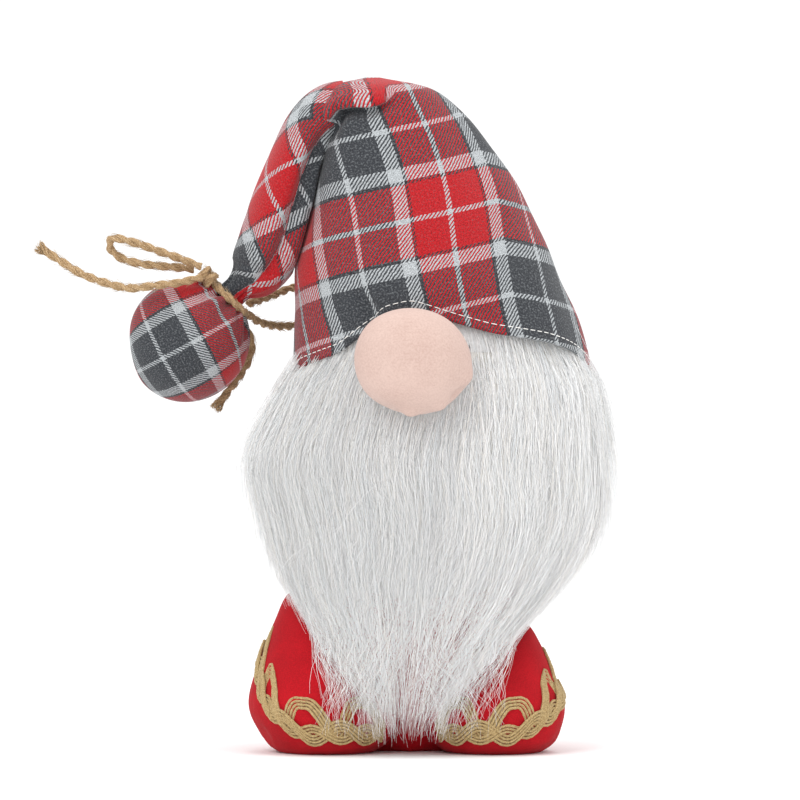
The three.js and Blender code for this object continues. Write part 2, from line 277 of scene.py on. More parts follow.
def bake_modifiers(made: bpy.types.Object) -> bpy.types.Object:
    """Replace an object's mesh with its evaluated result and drop its modifiers.

    Args:
        made: An object with modifiers.

    Returns:
        The same object with a plain mesh.
    """
    graph = bpy.context.evaluated_depsgraph_get()
    plain = bpy.data.meshes.new_from_object(made.evaluated_get(graph))
    old = made.data
    made.modifiers.clear()
    made.data = plain
    plain.name = made.name
    if old.users == 0:
        bpy.data.meshes.remove(old)
    return made


def thicken(made: bpy.types.Object, amount: float, offset: float = -1.0) -> None:
    """Give a cloth surface its thickness, in millimetres, growing inwards by default."""
    shell = made.modifiers.new("cloth thickness", "SOLIDIFY")
    shell.thickness = amount * MM
    shell.offset = offset
    shell.use_rim = True
    bake_modifiers(made)


def finish(
    made: bpy.types.Object, material: bpy.types.Material, slot: Slot, body: Body, *nodes: str
) -> None:
    """Give a piece its material, and let it ride on a body and stand for CAD nodes."""
    made.data.materials.clear()
    made.data.materials.append(material)
    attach(made, body.value)
    if nodes:
        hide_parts(*nodes)
    LOG.info("%s: %d faces, rides on %s", made.name, len(made.data.polygons), body.value)


# ---- Geometry Nodes ----------------------------------------------------------------------------


class StrandTree:
    """A Geometry Nodes tree that turns edge paths into tapered round strands."""

    SIDES = "Sides"
    THICKNESS = "Thickness"

    def __init__(self, name: str, material: bpy.types.Material) -> None:
        """Build the tree, which gives its strands the material."""
        tree = bpy.data.node_groups.new(name, "GeometryNodeTree")
        face = tree.interface
        face.new_socket("Geometry", in_out="INPUT", socket_type="NodeSocketGeometry")
        sides = face.new_socket(self.SIDES, in_out="INPUT", socket_type="NodeSocketInt")
        thick = face.new_socket(self.THICKNESS, in_out="INPUT", socket_type="NodeSocketFloat")
        face.new_socket("Geometry", in_out="OUTPUT", socket_type="NodeSocketGeometry")
        self.sockets = {self.SIDES: sides.identifier, self.THICKNESS: thick.identifier}
        source = add_node(tree, "NodeGroupInput")
        paths = add_node(tree, "GeometryNodeMeshToCurve", {0: source.outputs[0]}).outputs[0]
        taper = add_node(
            tree, "GeometryNodeInputNamedAttribute", {"Name": "taper"}, data_type="FLOAT"
        )
        radius = maths(tree, "MULTIPLY", taper.outputs[0], source.outputs[self.THICKNESS])
        sized = add_node(tree, "GeometryNodeSetCurveRadius", {"Curve": paths, "Radius": radius})
        ring = add_node(
            tree,
            "GeometryNodeCurvePrimitiveCircle",
            {"Resolution": source.outputs[self.SIDES], "Radius": 1.0},
            mode="RADIUS",
        )
        tube = add_node(
            tree,
            "GeometryNodeCurveToMesh",
            {"Curve": sized.outputs[0], "Profile Curve": ring.outputs[0], "Fill Caps": True},
        )
        if "Scale" in tube.inputs:
            tree.links.new(radius, tube.inputs["Scale"])
        real = add_node(tree, "GeometryNodeRealizeInstances", {0: tube.outputs[0]})
        soft = add_node(tree, "GeometryNodeSetShadeSmooth", {"Geometry": real.outputs[0]})
        painted = add_node(
            tree, "GeometryNodeSetMaterial", {"Geometry": soft.outputs[0], "Material": material}
        )
        add_node(tree, "NodeGroupOutput", {0: painted.outputs[0]})
        self.tree = tree

    def grow(
        self, name: str, paths: Array, taper: Array, thickness: float, sides: int = 3
    ) -> bpy.types.Object:
        """Make one plain mesh of strands.

        Args:
            name: The piece's name.
            paths: Points of each strand, strands by points by 3, in millimetres.
            taper: Relative radius at each point, strands by points.
            thickness: Radius of a strand where its taper is 1, in millimetres.
            sides: Sides of a strand's section.

        Returns:
            The strands as one mesh object.
        """
        strands, points = paths.shape[:2]
        first = np.arange(strands * points).reshape(strands, points)
        edges = np.stack([first[:, :-1], first[:, 1:]], axis=-1).reshape(-1, 2)
        mesh = bpy.data.meshes.new(name)
        mesh.from_pydata((paths.reshape(-1, 3) * MM).tolist(), edges.tolist(), [])
        layer = mesh.attributes.new("taper", "FLOAT", "POINT")
        layer.data.foreach_set("value", taper.astype(np.float32).ravel())
        made = bpy.data.objects.new(name, mesh)
        bpy.context.scene.collection.objects.link(made)
        live = made.modifiers.new("strands", "NODES")
        live.node_group = self.tree
        live[self.sockets[self.SIDES]] = sides
        live[self.sockets[self.THICKNESS]] = thickness * MM
        return bake_modifiers(made)


# ---- Finishes ----------------------------------------------------------------------------------


def new_material(name: str) -> tuple[bpy.types.Material, bpy.types.NodeTree, bpy.types.Node]:
    """Start a node material and return it with its tree and its Principled shader."""
    material = bpy.data.materials.new(name)
    material.use_nodes = True
    tree = material.node_tree
    tree.nodes.clear()
    shader = add_node(tree, "ShaderNodeBsdfPrincipled")
    add_node(tree, "ShaderNodeOutputMaterial", {"Surface": shader.outputs[0]})
    return material, tree, shader


def set_inputs(shader: bpy.types.Node, **values: float | tuple) -> None:
    """Set a shader's own sockets, with spaces in their names written as underscores."""
    for name, value in values.items():
        shader.inputs[name.replace("_", " ")].default_value = value


def ramp(tree: bpy.types.NodeTree, factor, stops: Sequence[tuple[float, str]], stepped: bool):
    """Add a colour ramp over (position, hex colour) stops and return its colour socket."""
    made = add_node(tree, "ShaderNodeValToRGB", {0: factor})
    scale = made.color_ramp
    scale.interpolation = "CONSTANT" if stepped else "LINEAR"
    while len(scale.elements) < len(stops):
        scale.elements.new(0.5)
    for element, (position, code) in zip(scale.elements, stops):
        element.position = position
        element.color = linear(code)
    return made.outputs[0]


def mix_colour(tree: bpy.types.NodeTree, factor, first, second, blend: str = "MIX"):
    """Mix two colours, each a socket or a linear RGBA, and return the colour socket."""
    made = add_node(tree, "ShaderNodeMix", {0: factor}, data_type="RGBA", blend_type=blend)
    for socket, value in ((made.inputs[6], first), (made.inputs[7], second)):
        if isinstance(value, bpy.types.NodeSocket):
            tree.links.new(value, socket)
        else:
            socket.default_value = value
    return made.outputs[2]


@dataclass(frozen=True)
class TartanFlannel:
    """Brushed cotton flannel in a 2/2 twill: soft, dull, with visible diagonal yarns.

    The sett is white, red, thin white, red, white, charcoal, thin white, charcoal, both ways.
    """

    name: str = "brushed flannel, tartan twill"
    sett: float = 76.0  # mm for one whole repeat
    wide: float = 5.8  # mm across a wide white stripe
    thin: float = 1.9  # mm across a thin white stripe
    shade: float = 1.3  # mm across the dark yarns beside the wide white, on its red side
    twill: float = 1.7  # mm from one diagonal to the next
    red: str = "c2161f"
    charcoal: str = "3c3f44"
    white: str = "c3c8cb"
    dark: str = "2f2b30"
    nap: float = 0.19  # share of pale fibre ends over the darkest yarns

    def stops(self) -> list[tuple[float, str]]:
        """The sett's colour changes as fractions of a repeat."""
        half, thin, s = self.wide / 2, self.thin / 2, self.sett
        marks = [
            (0.0, self.white),
            (half, self.dark),
            (half + self.shade, self.red),
            (s / 4 - thin, self.white),
            (s / 4 + thin, self.red),
            (s / 2 - half - self.shade, self.dark),
            (s / 2 - half, self.white),
            (s / 2 + half, self.charcoal),
            (3 * s / 4 - thin, self.white),
            (3 * s / 4 + thin, self.charcoal),
            (s - half, self.white),
        ]
        return [(place_mm / s, colour) for place_mm, colour in marks]

    def build(self) -> bpy.types.Material:
        """Make the material, which reads the piece's cloth map in metres."""
        material, tree, shader = new_material(self.name)
        cloth = add_node(tree, "ShaderNodeUVMap", uv_map="cloth").outputs[0]
        wander = add_node(
            tree, "ShaderNodeTexNoise", {"Vector": cloth, "Scale": 420.0, "Detail": 3.0}
        )
        across, along = self.threads(tree, cloth, wander)
        colours = []
        for coordinate in (across, along):
            part = maths(tree, "FRACT", maths(tree, "DIVIDE", coordinate, self.sett))
            colours.append(ramp(tree, part, self.stops(), stepped=True))
        slant = maths(tree, "ADD", across, along)
        wave = maths(tree, "SINE", maths(tree, "MULTIPLY", slant, TAU / self.twill))
        over = add_node(
            tree,
            "ShaderNodeMapRange",
            {0: wave, 1: -0.35, 2: 0.35},
            interpolation_type="SMOOTHSTEP",
        )
        woven = mix_colour(tree, over.outputs[0], colours[0], colours[1])
        fibre = add_node(
            tree, "ShaderNodeTexNoise", {"Vector": cloth, "Scale": 1900.0, "Detail": 4.0}
        )
        fleck = ramp(tree, fibre.outputs[0], [(0.32, "848484"), (0.68, "ffffff")], stepped=False)
        flecked = mix_colour(tree, 0.85, woven, fleck, "MULTIPLY")
        napped = self.raise_nap(tree, cloth, flecked)
        tree.links.new(napped, shader.inputs["Base Color"])
        yarn = maths(tree, "MULTIPLY", maths(tree, "ABSOLUTE", wave), 0.6)
        height = maths(tree, "ADD", yarn, fibre.outputs[0])
        relief = add_node(
            tree, "ShaderNodeBump", {"Height": height, "Strength": 0.35, "Distance": 0.00025}
        )
        tree.links.new(relief.outputs[0], shader.inputs["Normal"])
        set_inputs(shader, Roughness=0.92, Specular_IOR_Level=0.25, Sheen_Weight=0.12)
        set_inputs(shader, Sheen_Roughness=0.5)
        return material

    def raise_nap(self, tree: bpy.types.NodeTree, cloth, colour) -> bpy.types.NodeSocket:
        """Brush pale fibre ends up over the dark yarns, where they show most."""
        tufts = add_node(
            tree, "ShaderNodeTexNoise", {"Vector": cloth, "Scale": 1250.0, "Detail": 4.0}
        )
        ends = ramp(tree, tufts.outputs[0], [(0.5, "000000"), (0.68, "ffffff")], stepped=False)
        redness = add_node(tree, "ShaderNodeSeparateColor", {0: colour}).outputs[0]
        dark = maths(tree, "SUBTRACT", 1.0, maths(tree, "MULTIPLY", redness, 2.0), clamp=True)
        share = maths(tree, "MULTIPLY", maths(tree, "MULTIPLY", ends, dark), self.nap)
        return mix_colour(tree, share, colour, linear(self.white))

    def threads(self, tree: bpy.types.NodeTree, cloth, wander: bpy.types.Node) -> list:
        """Cloth coordinates in millimetres, with the yarns' slight wander."""
        drift = add_node(tree, "ShaderNodeVectorMath", {0: wander.outputs["Color"], 1: (0.5,) * 3})
        drift.operation = "SUBTRACT"
        sized = add_node(tree, "ShaderNodeVectorMath", {0: cloth}, operation="SCALE")
        sized.inputs["Scale"].default_value = 1 / MM
        small = add_node(tree, "ShaderNodeVectorMath", {0: drift.outputs[0]}, operation="SCALE")
        small.inputs["Scale"].default_value = 0.9
        moved = add_node(tree, "ShaderNodeVectorMath", {0: sized.outputs[0], 1: small.outputs[0]})
        parts = add_node(tree, "ShaderNodeSeparateXYZ", {0: moved.outputs[0]})
        return [parts.outputs[0], parts.outputs[1]]


@dataclass(frozen=True)
class SoftCloth:
    """A plain woven, knitted or felted cloth: dull, with fine fuzz and faint colour drift."""

    name: str
    colour: str
    shade: str
    grain: float = 0.5  # mm from one thread or tuft to the next
    relief: float = 0.15  # mm height of the surface texture
    sheen: float = 0.15

    def build(self) -> bpy.types.Material:
        """Make the material on Object coordinates."""
        material, tree, shader = new_material(self.name)
        place_in = add_node(tree, "ShaderNodeTexCoord").outputs["Object"]
        scale = 1 / (self.grain * MM)
        fuzz = add_node(
            tree, "ShaderNodeTexNoise", {"Vector": place_in, "Scale": scale, "Detail": 4.0}
        )
        drift = add_node(
            tree, "ShaderNodeTexNoise", {"Vector": place_in, "Scale": 70.0, "Detail": 2.0}
        )
        worn = maths(tree, "MULTIPLY", fuzz.outputs[0], 0.65)
        both = maths(tree, "ADD", worn, maths(tree, "MULTIPLY", drift.outputs[0], 0.35))
        stops = [(0.35, self.shade), (0.62, self.colour)]
        tree.links.new(ramp(tree, both, stops, stepped=False), shader.inputs["Base Color"])
        relief = add_node(
            tree,
            "ShaderNodeBump",
            {"Height": fuzz.outputs[0], "Strength": 0.6, "Distance": self.relief * MM},
        )
        tree.links.new(relief.outputs[0], shader.inputs["Normal"])
        set_inputs(shader, Roughness=0.9, Specular_IOR_Level=0.2, Sheen_Weight=self.sheen)
        set_inputs(shader, Sheen_Roughness=0.45)
        return material


@dataclass(frozen=True)
class JuteYarn:
    """Spun jute: dry, straw-coloured bast fibre with darker and paler strands along its length."""

    name: str = "spun jute"
    pale: str = "cdb595"
    tan: str = "ae9068"
    dark: str = "836443"
    fibre: float = 0.35  # mm from one fibre bundle to the next

    def build(self) -> bpy.types.Material:
        """Make the material on Object coordinates."""
        material, tree, shader = new_material(self.name)
        place_in = add_node(tree, "ShaderNodeTexCoord").outputs["Object"]
        strand = add_node(
            tree,
            "ShaderNodeTexNoise",
            {"Vector": place_in, "Scale": 1 / (self.fibre * MM), "Detail": 3.0, "Roughness": 0.6},
        )
        stops = [(0.33, self.dark), (0.5, self.tan), (0.68, self.pale)]
        tree.links.new(
            ramp(tree, strand.outputs[0], stops, stepped=False), shader.inputs["Base Color"]
        )
        relief = add_node(
            tree,
            "ShaderNodeBump",
            {"Height": strand.outputs[0], "Strength": 0.7, "Distance": 0.2 * MM},
        )
        tree.links.new(relief.outputs[0], shader.inputs["Normal"])
        set_inputs(shader, Roughness=0.85, Specular_IOR_Level=0.3, Sheen_Weight=0.1)
        return material


@dataclass(frozen=True)
class PlainFibre:
    """Loose fibre in one colour, too thin to carry a pattern of its own."""

    name: str
    colour: str
    roughness: float = 0.55
    specular: float = 0.4
    glow: float = 0.0  # stands in for light that scatters between thin pale fibres

    def build(self) -> bpy.types.Material:
        """Make the material with all its values on the shader."""
        material, _, shader = new_material(self.name)
        set_inputs(shader, Base_Color=linear(self.colour), Roughness=self.roughness)
        set_inputs(shader, Specular_IOR_Level=self.specular, Sheen_Weight=0.1)
        set_inputs(shader, Emission_Color=linear(self.colour), Emission_Strength=self.glow)
        return material


# ---- Soft forms --------------------------------------------------------------------------------


@dataclass
class LevelForm:
    """A soft form given by level rings: height, centre x and y, half-widths a and b, in mm."""

    stations: Sequence[tuple[float, float, float, float, float]]
    fine: int = 160

    def __post_init__(self) -> None:
        """Interpolate the rings once."""
        self.rows = curve_through(np.array(self.stations), self.fine)

    def at(self, height: Array | float) -> tuple[Array, Array, Array, Array]:
        """Centre x, centre y, half-width and half-depth at a height."""
        z = self.rows[:, 0]
        x, y, a, b = (np.interp(height, z, self.rows[:, k]) for k in range(1, 5))
        return x, y, np.maximum(a, 0.2), np.maximum(b, 0.2)

    def point(self, height: Array, turn: Array, lift: Array | float = 0.0) -> Array:
        """Points on the surface.

        Args:
            height: Heights in mm.
            turn: Angles from the face (-Y), growing towards +X, in radians.
            lift: Distance off the surface in mm.

        Returns:
            Points, with a last axis of x, y, z.
        """
        x, y, a, b = self.at(height)
        px = x + (a + lift) * np.sin(turn)
        py = y - (b + lift) * np.cos(turn)
        return np.stack(np.broadcast_arrays(px, py, height), axis=-1)


def push_out(grid: Array, form: LevelForm, gap: float) -> Array:
    """Move the points of a grid that lie in a level form, or nearer than a gap, off it.

    Args:
        grid: Points in mm.
        form: The form to keep clear of.
        gap: Distance to keep, in mm.

    Returns:
        The moved points.
    """
    x, y, a, b = form.at(grid[..., 2])
    off_x, off_y = grid[..., 0] - x, grid[..., 1] - y
    reach = np.sqrt((off_x / (a + gap)) ** 2 + (off_y / (b + gap)) ** 2)
    inside = (grid[..., 2] > form.rows[0, 0]) & (grid[..., 2] < form.rows[-1, 0])
    grow = np.where(inside & (reach < 1), 1 / np.maximum(reach, 0.05), 1.0)
    return np.stack([x + off_x * grow, y + off_y * grow, grid[..., 2]], axis=-1)


def arc_lengths(grid: Array, axis: int) -> Array:
    """Running lengths along one axis of a grid of points, in the grid's own unit."""
    steps = np.linalg.norm(np.diff(grid, axis=axis), axis=-1)
    total = np.cumsum(steps, axis=axis)
    start = np.zeros_like(np.take(total, [0], axis=axis))
    return np.concatenate([start, total], axis=axis)


def resampled(where: Array, length: Array, line: Array) -> Array:
    """Rows of three values at given running lengths along a line."""
    return np.stack([np.interp(where, length, line[:, k]) for k in range(3)], axis=-1)


def close_end(grid: Array) -> Array:
    """Add a last row that draws the grid's end in to one point."""
    end = np.repeat(grid[-1:].mean(axis=1, keepdims=True), grid.shape[1], axis=1)
    return np.concatenate([grid, end])


def turned(u: Array, v: Array, degrees: float) -> tuple[Array, Array]:
    """Turn a pair of coordinates about their origin."""
    c, s = math.cos(math.radians(degrees)), math.sin(math.radians(degrees))
    return c * u - s * v, s * u + c * v


def level_solid(
    name: str, form: LevelForm, relief: Callable[[Array, Array], Array], size: tuple[int, int]
) -> bpy.types.Object:
    """Make a closed form from level rings, with a flat foot and a rounded top.

    Args:
        name: The piece's name.
        form: The level rings.
        relief: Height off the surface in mm, from heights and turns.
        size: Rows and columns of the grid.

    Returns:
        The closed object.
    """
    rows, columns = size
    z = form.rows[:, 0]
    reach = np.linspace(0, 1, rows)
    height = z[0] + (z[-1] - z[0]) * (0.5 - 0.5 * np.cos(math.pi * reach))
    turn = np.linspace(-math.pi, math.pi, columns)
    heights, turns = np.meshgrid(height, turn, indexing="ij")
    lift = relief(heights, turns) * smoothstep(z[0] + 0.5, z[0] + 6, heights)
    side = form.point(heights, turns, lift)
    x, y, a, b = form.at(z[0])
    foot = []
    for part in np.linspace(0.0, 0.96, 6):
        ring = np.stack([x + part * a * np.sin(turn), y - part * b * np.cos(turn)], axis=-1)
        foot.append(np.concatenate([ring, np.full((columns, 1), z[0])], axis=-1))
    made = sheet_object(name, close_end(np.concatenate([np.array(foot), side])))
    face_out(made)
    return made


@dataclass(frozen=True)
class Stuffing:
    """How a sewn cover is filled: a cloth simulation blows it up round its seams."""

    voxel: float = 4.0  # mm, size of the cover's faces while it is filled
    pressure: float = 4.0
    shrink: float = -0.02  # less than 0 gives loose cloth that wrinkles
    frames: int = 20
    limit: float = 1.2  # mm that the cover may move

    def fill(self, made: bpy.types.Object, held: Callable[[Array], Array]) -> None:
        """Fill a closed cover, and keep the part that is held in place.

        Args:
            made: The cover, a plain mesh at the origin.
            held: Gives how firmly each vertex is held, from 0 to 1, from its place in mm.
        """
        remesh = made.modifiers.new("even faces", "REMESH")
        remesh.mode, remesh.voxel_size = "VOXEL", self.voxel * MM
        bake_modifiers(made)
        start = vertex_places(made)
        group = made.vertex_groups.new(name="held")
        for index, hold in enumerate(held(start / MM)):
            group.add([index], float(hold), "REPLACE")
        live = made.modifiers.new("filling", "CLOTH")
        settings = live.settings
        settings.quality = 6
        settings.mass = 0.15
        settings.tension_stiffness = settings.compression_stiffness = 12
        settings.shear_stiffness, settings.bending_stiffness = 4, 0.4
        settings.use_pressure = True
        settings.uniform_pressure_force = self.pressure
        settings.shrink_min = self.shrink
        settings.vertex_group_mass = group.name
        settings.pin_stiffness = 1.0
        settings.effector_weights.gravity = 0.0
        live.collision_settings.use_self_collision = False
        live.collision_settings.use_collision = False
        live.point_cache.frame_start, live.point_cache.frame_end = 1, self.frames
        for frame in range(1, self.frames + 1):
            bpy.context.scene.frame_set(frame)
        bake_modifiers(made)
        bpy.context.scene.frame_set(1)
        moved = vertex_places(made) - start
        size = np.linalg.norm(moved, axis=1, keepdims=True)
        kept = moved * np.minimum(1, self.limit * MM / np.maximum(size, 1e-9))
        made.data.vertices.foreach_set("co", (start + kept).astype(np.float32).ravel())
        made.vertex_groups.clear()
        finer = made.modifiers.new("rounding", "SUBSURF")
        finer.levels = finer.render_levels = 1
        bake_modifiers(made)
        made.data.polygons.foreach_set("use_smooth", [True] * len(made.data.polygons))
        LOG.info("%s: filled, moved up to %.2f mm", made.name, float(size.max()) / MM)


def vertex_places(made: bpy.types.Object) -> Array:
    """Places of a plain mesh's vertices in metres."""
    places = np.empty(3 * len(made.data.vertices), dtype=np.float32)
    made.data.vertices.foreach_get("co", places)
    return places.reshape(-1, 3).astype(float)


# ---- Hat ---------------------------------------------------------------------------------------


@dataclass
class Hat:
    """The hat's cone: a flannel panel seamed at the back, with a stitched hem and a folded top."""

    cloth: bpy.types.Material
    thread: bpy.types.Material
    hem_line: Sequence[tuple[float, float]] = (  # turn in radians, height of the hem in mm
        (-3.15, 128.5),
        (-2.2, 132.5),
        (-1.36, 141.0),
        (-0.78, 147.7),
        (-0.57, 154.4),
        (-0.36, 161.5),
        (-0.15, 164.0),
        (0.12, 159.0),
        (0.375, 155.2),
        (0.82, 151.8),
        (1.145, 147.7),
        (1.57, 140.0),
        (2.3, 132.0),
        (3.15, 128.5),
    )
    top: float = 250.0
    cloth_thickness: float = 1.0
    stitch: float = 3.2  # mm from one hem stitch to the next
    stitch_in: float = 3.4  # mm from the hem's edge to its stitches
    thread_radius: float = 0.17
    middle: float = 213.0  # height of the cloth's level line, in mm
    rows: int = 156
    columns: int = 301
    lip: Sequence[tuple[float, float]] = (  # x and z along the lower edge of the folded top
        (-5.0, 244.5),
        (-9.0, 241.5),
        (-15.0, 240.0),
        (-22.0, 240.2),
        (-28.0, 239.0),
        (-32.0, 233.0),
        (-34.5, 225.0),
    )
    stations: Sequence[tuple[float, float, float, float, float]] = (
        (118.0, 12.0, 1.0, 57.0, 53.0),
        (140.0, 12.3, 0.5, 56.0, 51.5),
        (160.0, 10.3, 0.0, 53.0, 48.5),
        (180.0, 6.0, 0.0, 48.8, 44.5),
        (208.0, 2.0, 0.0, 38.6, 36.0),
        (226.0, -3.2, 0.0, 31.5, 29.0),
        (238.0, -8.5, 0.0, 26.5, 24.5),
        (246.0, -12.0, 0.0, 19.5, 18.5),
        (250.0, -14.0, 0.0, 3.0, 3.0),
    )
    form: LevelForm = field(init=False)

    def __post_init__(self) -> None:
        """Make the level form once."""
        self.form = LevelForm(self.stations, 260)

    def hem(self, turn: Array) -> Array:
        """Height of the hem at each turn, pushed up where it lies over the nose."""
        turns, heights = np.array(self.hem_line).T
        fine = np.linspace(-math.pi, math.pi, 721)
        line = np.interp(fine, turns, heights)
        weights = bump(np.linspace(-2, 2, 25), 0, 1)
        ends = np.concatenate([line[-13:-1], line, line[1:13]])
        soft = np.convolve(ends, weights / weights.sum(), "valid")
        return np.interp(turn, fine, soft)

    def relief(self, height: Array, turn: Array) -> Array:
        """Soft folds of the stuffed cone, in mm off its form."""
        x, _, z = np.moveaxis(self.form.point(height, turn), -1, 0)
        front = smoothstep(0.0, 0.35, np.cos(turn))
        soft = 0.7 * ripple(turn * 3.4, height / 15, seed=4, reach=1.7)
        soft = soft + 0.28 * ripple(turn * 9, height / 5.5, seed=9, reach=1.6)
        soft = soft + 0.9 * bump(height, 172, 16) * np.cos(2 * turn - 0.6)
        soft = soft * smoothstep(249, 238, height)
        # the crease beside the tail
        heights, places = [178, 186, 199, 212, 226, 236], [-45, -43, -40.5, -38.5, -35.5, -33]
        crease_x = np.interp(z, heights, places)
        crease = -1.5 * bump(x - crease_x, 2.5, 3.0) * smoothstep(174, 190, z)
        crease = crease * smoothstep(240, 228, z)
        # the nose pushes the cloth up into a fold at its left and a swell over it
        dent = -2.4 * bump(x + 0.5 * (z - 163), -15, 4) * bump(z, 164, 7)
        dent = dent + 1.8 * bump(x, 0, 11) * bump(z, 166, 7)
        dent = dent - 1.0 * bump(x, 22, 9) * bump(z, 164, 4)
        return soft + front * (crease + dent)

    def above_lip(self, grid: Array) -> tuple[Array, Array]:
        """How far points lie above the line of the lip, and how strong the lip is there."""
        line_x, line_z = np.array(self.lip).T
        x, z = grid[..., 0], grid[..., 2]
        near = np.full(x.shape, 1e3)
        sign = np.ones(x.shape)
        part = np.zeros(x.shape)
        run = 0.0
        total = np.hypot(np.diff(line_x), np.diff(line_z)).sum()
        for k in range(len(line_x) - 1):
            ax, az, bx, bz = line_x[k], line_z[k], line_x[k + 1], line_z[k + 1]
            span = math.hypot(bx - ax, bz - az)
            t = np.clip(((x - ax) * (bx - ax) + (z - az) * (bz - az)) / span**2, 0, 1)
            gap_x, gap_z = x - ax - t * (bx - ax), z - az - t * (bz - az)
            far = np.hypot(gap_x, gap_z)
            closer = far < near
            side = (bz - az) * gap_x - (bx - ax) * gap_z
            sign = np.where(closer, np.where(side > 0, 1.0, -1.0), sign)
            part = np.where(closer, (run + t * span) / total, part)
            near = np.minimum(near, far)
            run += span
        strength = smoothstep(0.0, 0.22, part) * smoothstep(1.0, 0.8, part)
        strength = strength * smoothstep(-4, -12, grid[..., 1])
        return sign * near, strength

    def surface(self, steep: Array, turn: Array, lift: float = 0.0) -> Array:
        """Points of the cone from the hem (0) to the top (1)."""
        hem = self.hem(turn)
        height = hem + (self.top - hem) * (1 - (1 - steep) ** 1.7)
        return self.form.point(height, turn, self.relief(height, turn) + lift)

    def fold_lip(self, grid: Array) -> Array:
        """Hang the folded top over the front in a lip, with the cloth under it tucked in."""
        over, strength = self.above_lip(grid)
        out = 2.8 * bump(over, 1.4, 2.2) - 4.2 * bump(over, -2.6, 2.8)
        down = 2.4 * bump(over, 1.0, 1.7)
        x, y, _, _ = self.form.at(grid[..., 2])
        way_x, way_y = grid[..., 0] - x, grid[..., 1] - y
        size = np.maximum(np.hypot(way_x, way_y), 1.0)
        push = out * strength
        moved = np.stack([way_x / size * push, way_y / size * push, -down * strength], axis=-1)
        # a small pleat hangs from the lip beside the crease
        pleat_x = np.interp(grid[..., 2], [216, 228, 240], [-35.0, -32.0, -28.0])
        pleat = 2.6 * bump(grid[..., 0], pleat_x, 1.5)
        pleat = pleat - 1.8 * bump(grid[..., 0], pleat_x + 3.6, 1.8)
        pleat = pleat * smoothstep(214, 222, grid[..., 2]) * smoothstep(243, 238, grid[..., 2])
        pleat = pleat * smoothstep(-2, -8, grid[..., 1])
        moved[..., 1] -= pleat
        return grid + moved

    def cloth_map(self, grid: Array, turn: Array) -> Array:
        """Cloth coordinates of the panel in metres, laid out from its front."""
        around = arc_lengths(grid, axis=1)
        middle = around[:, [turn.shape[1] // 2]]
        across = around - middle
        level = np.linspace(self.form.rows[0, 0], self.top, 400)
        x, _, _, b = self.form.at(level)
        slant = arc_lengths(np.stack([x, b, level], axis=-1), axis=0)
        up = np.interp(grid[..., 2], level, slant) - np.interp(self.middle, level, slant)
        lean = 0.22 * np.minimum(across + 7, 40) - 0.16 * np.maximum(across - 33, 0)
        over, strength = self.above_lip(grid)
        tucked = 15.0 * smoothstep(-1.2, 0.2, over) * strength * smoothstep(9, 4, over)
        along = lean - 1.05 * up - tucked
        return np.stack([across + 7, along], axis=-1) * MM

    def build(self) -> None:
        """Make the cone and the hem's stitches."""
        steep, turn = np.meshgrid(
            np.linspace(0, 1, self.rows),
            np.linspace(-math.pi, math.pi, self.columns),
            indexing="ij",
        )
        grid = self.surface(steep, turn)
        cloth = close_end(self.cloth_map(grid, turn))
        made = sheet_object("hat", close_end(self.fold_lip(grid)), cloth)
        face_out(made)
        thicken(made, self.cloth_thickness)
        finish(made, self.cloth, Slot.PLAID, Body.ROOT, "hat_cone")
        self.stitches()

    def stitches(self) -> None:
        """Run white stitches round the hem, each a short strand that dips in at both ends."""
        tree = StrandTree("hem stitches", self.thread)
        turns = np.linspace(-math.pi, math.pi, 2600)
        steep = self.stitch_in / (self.top - self.hem(turns)) / 1.7
        line = self.surface(steep, turns, 0.15)
        length = arc_lengths(line, axis=0)
        count = int(length[-1] / self.stitch)
        starts = np.arange(count) * self.stitch
        reach = np.linspace(0, 1, 6)
        where = starts[:, None] + reach * self.stitch * 0.82
        turn = np.interp(where, length, turns)
        steep = self.stitch_in / (self.top - self.hem(turn)) / 1.7
        dip = 0.15 - 0.55 * (2 * reach - 1) ** 4
        paths = self.surface(steep, turn, 0.0)
        x, y, _, _ = self.form.at(paths[..., 2])
        out = np.stack([paths[..., 0] - x, paths[..., 1] - y], axis=-1)
        out = out / np.linalg.norm(out, axis=-1, keepdims=True)
        paths[..., :2] += out * dip[None, :, None]
        even = np.ones(paths.shape[:2])
        made = tree.grow("hem_stitches", paths, even, self.thread_radius, sides=5)
        finish(made, self.thread, Slot.PLAID, Body.ROOT)


# ---- Tail --------------------------------------------------------------------------------------


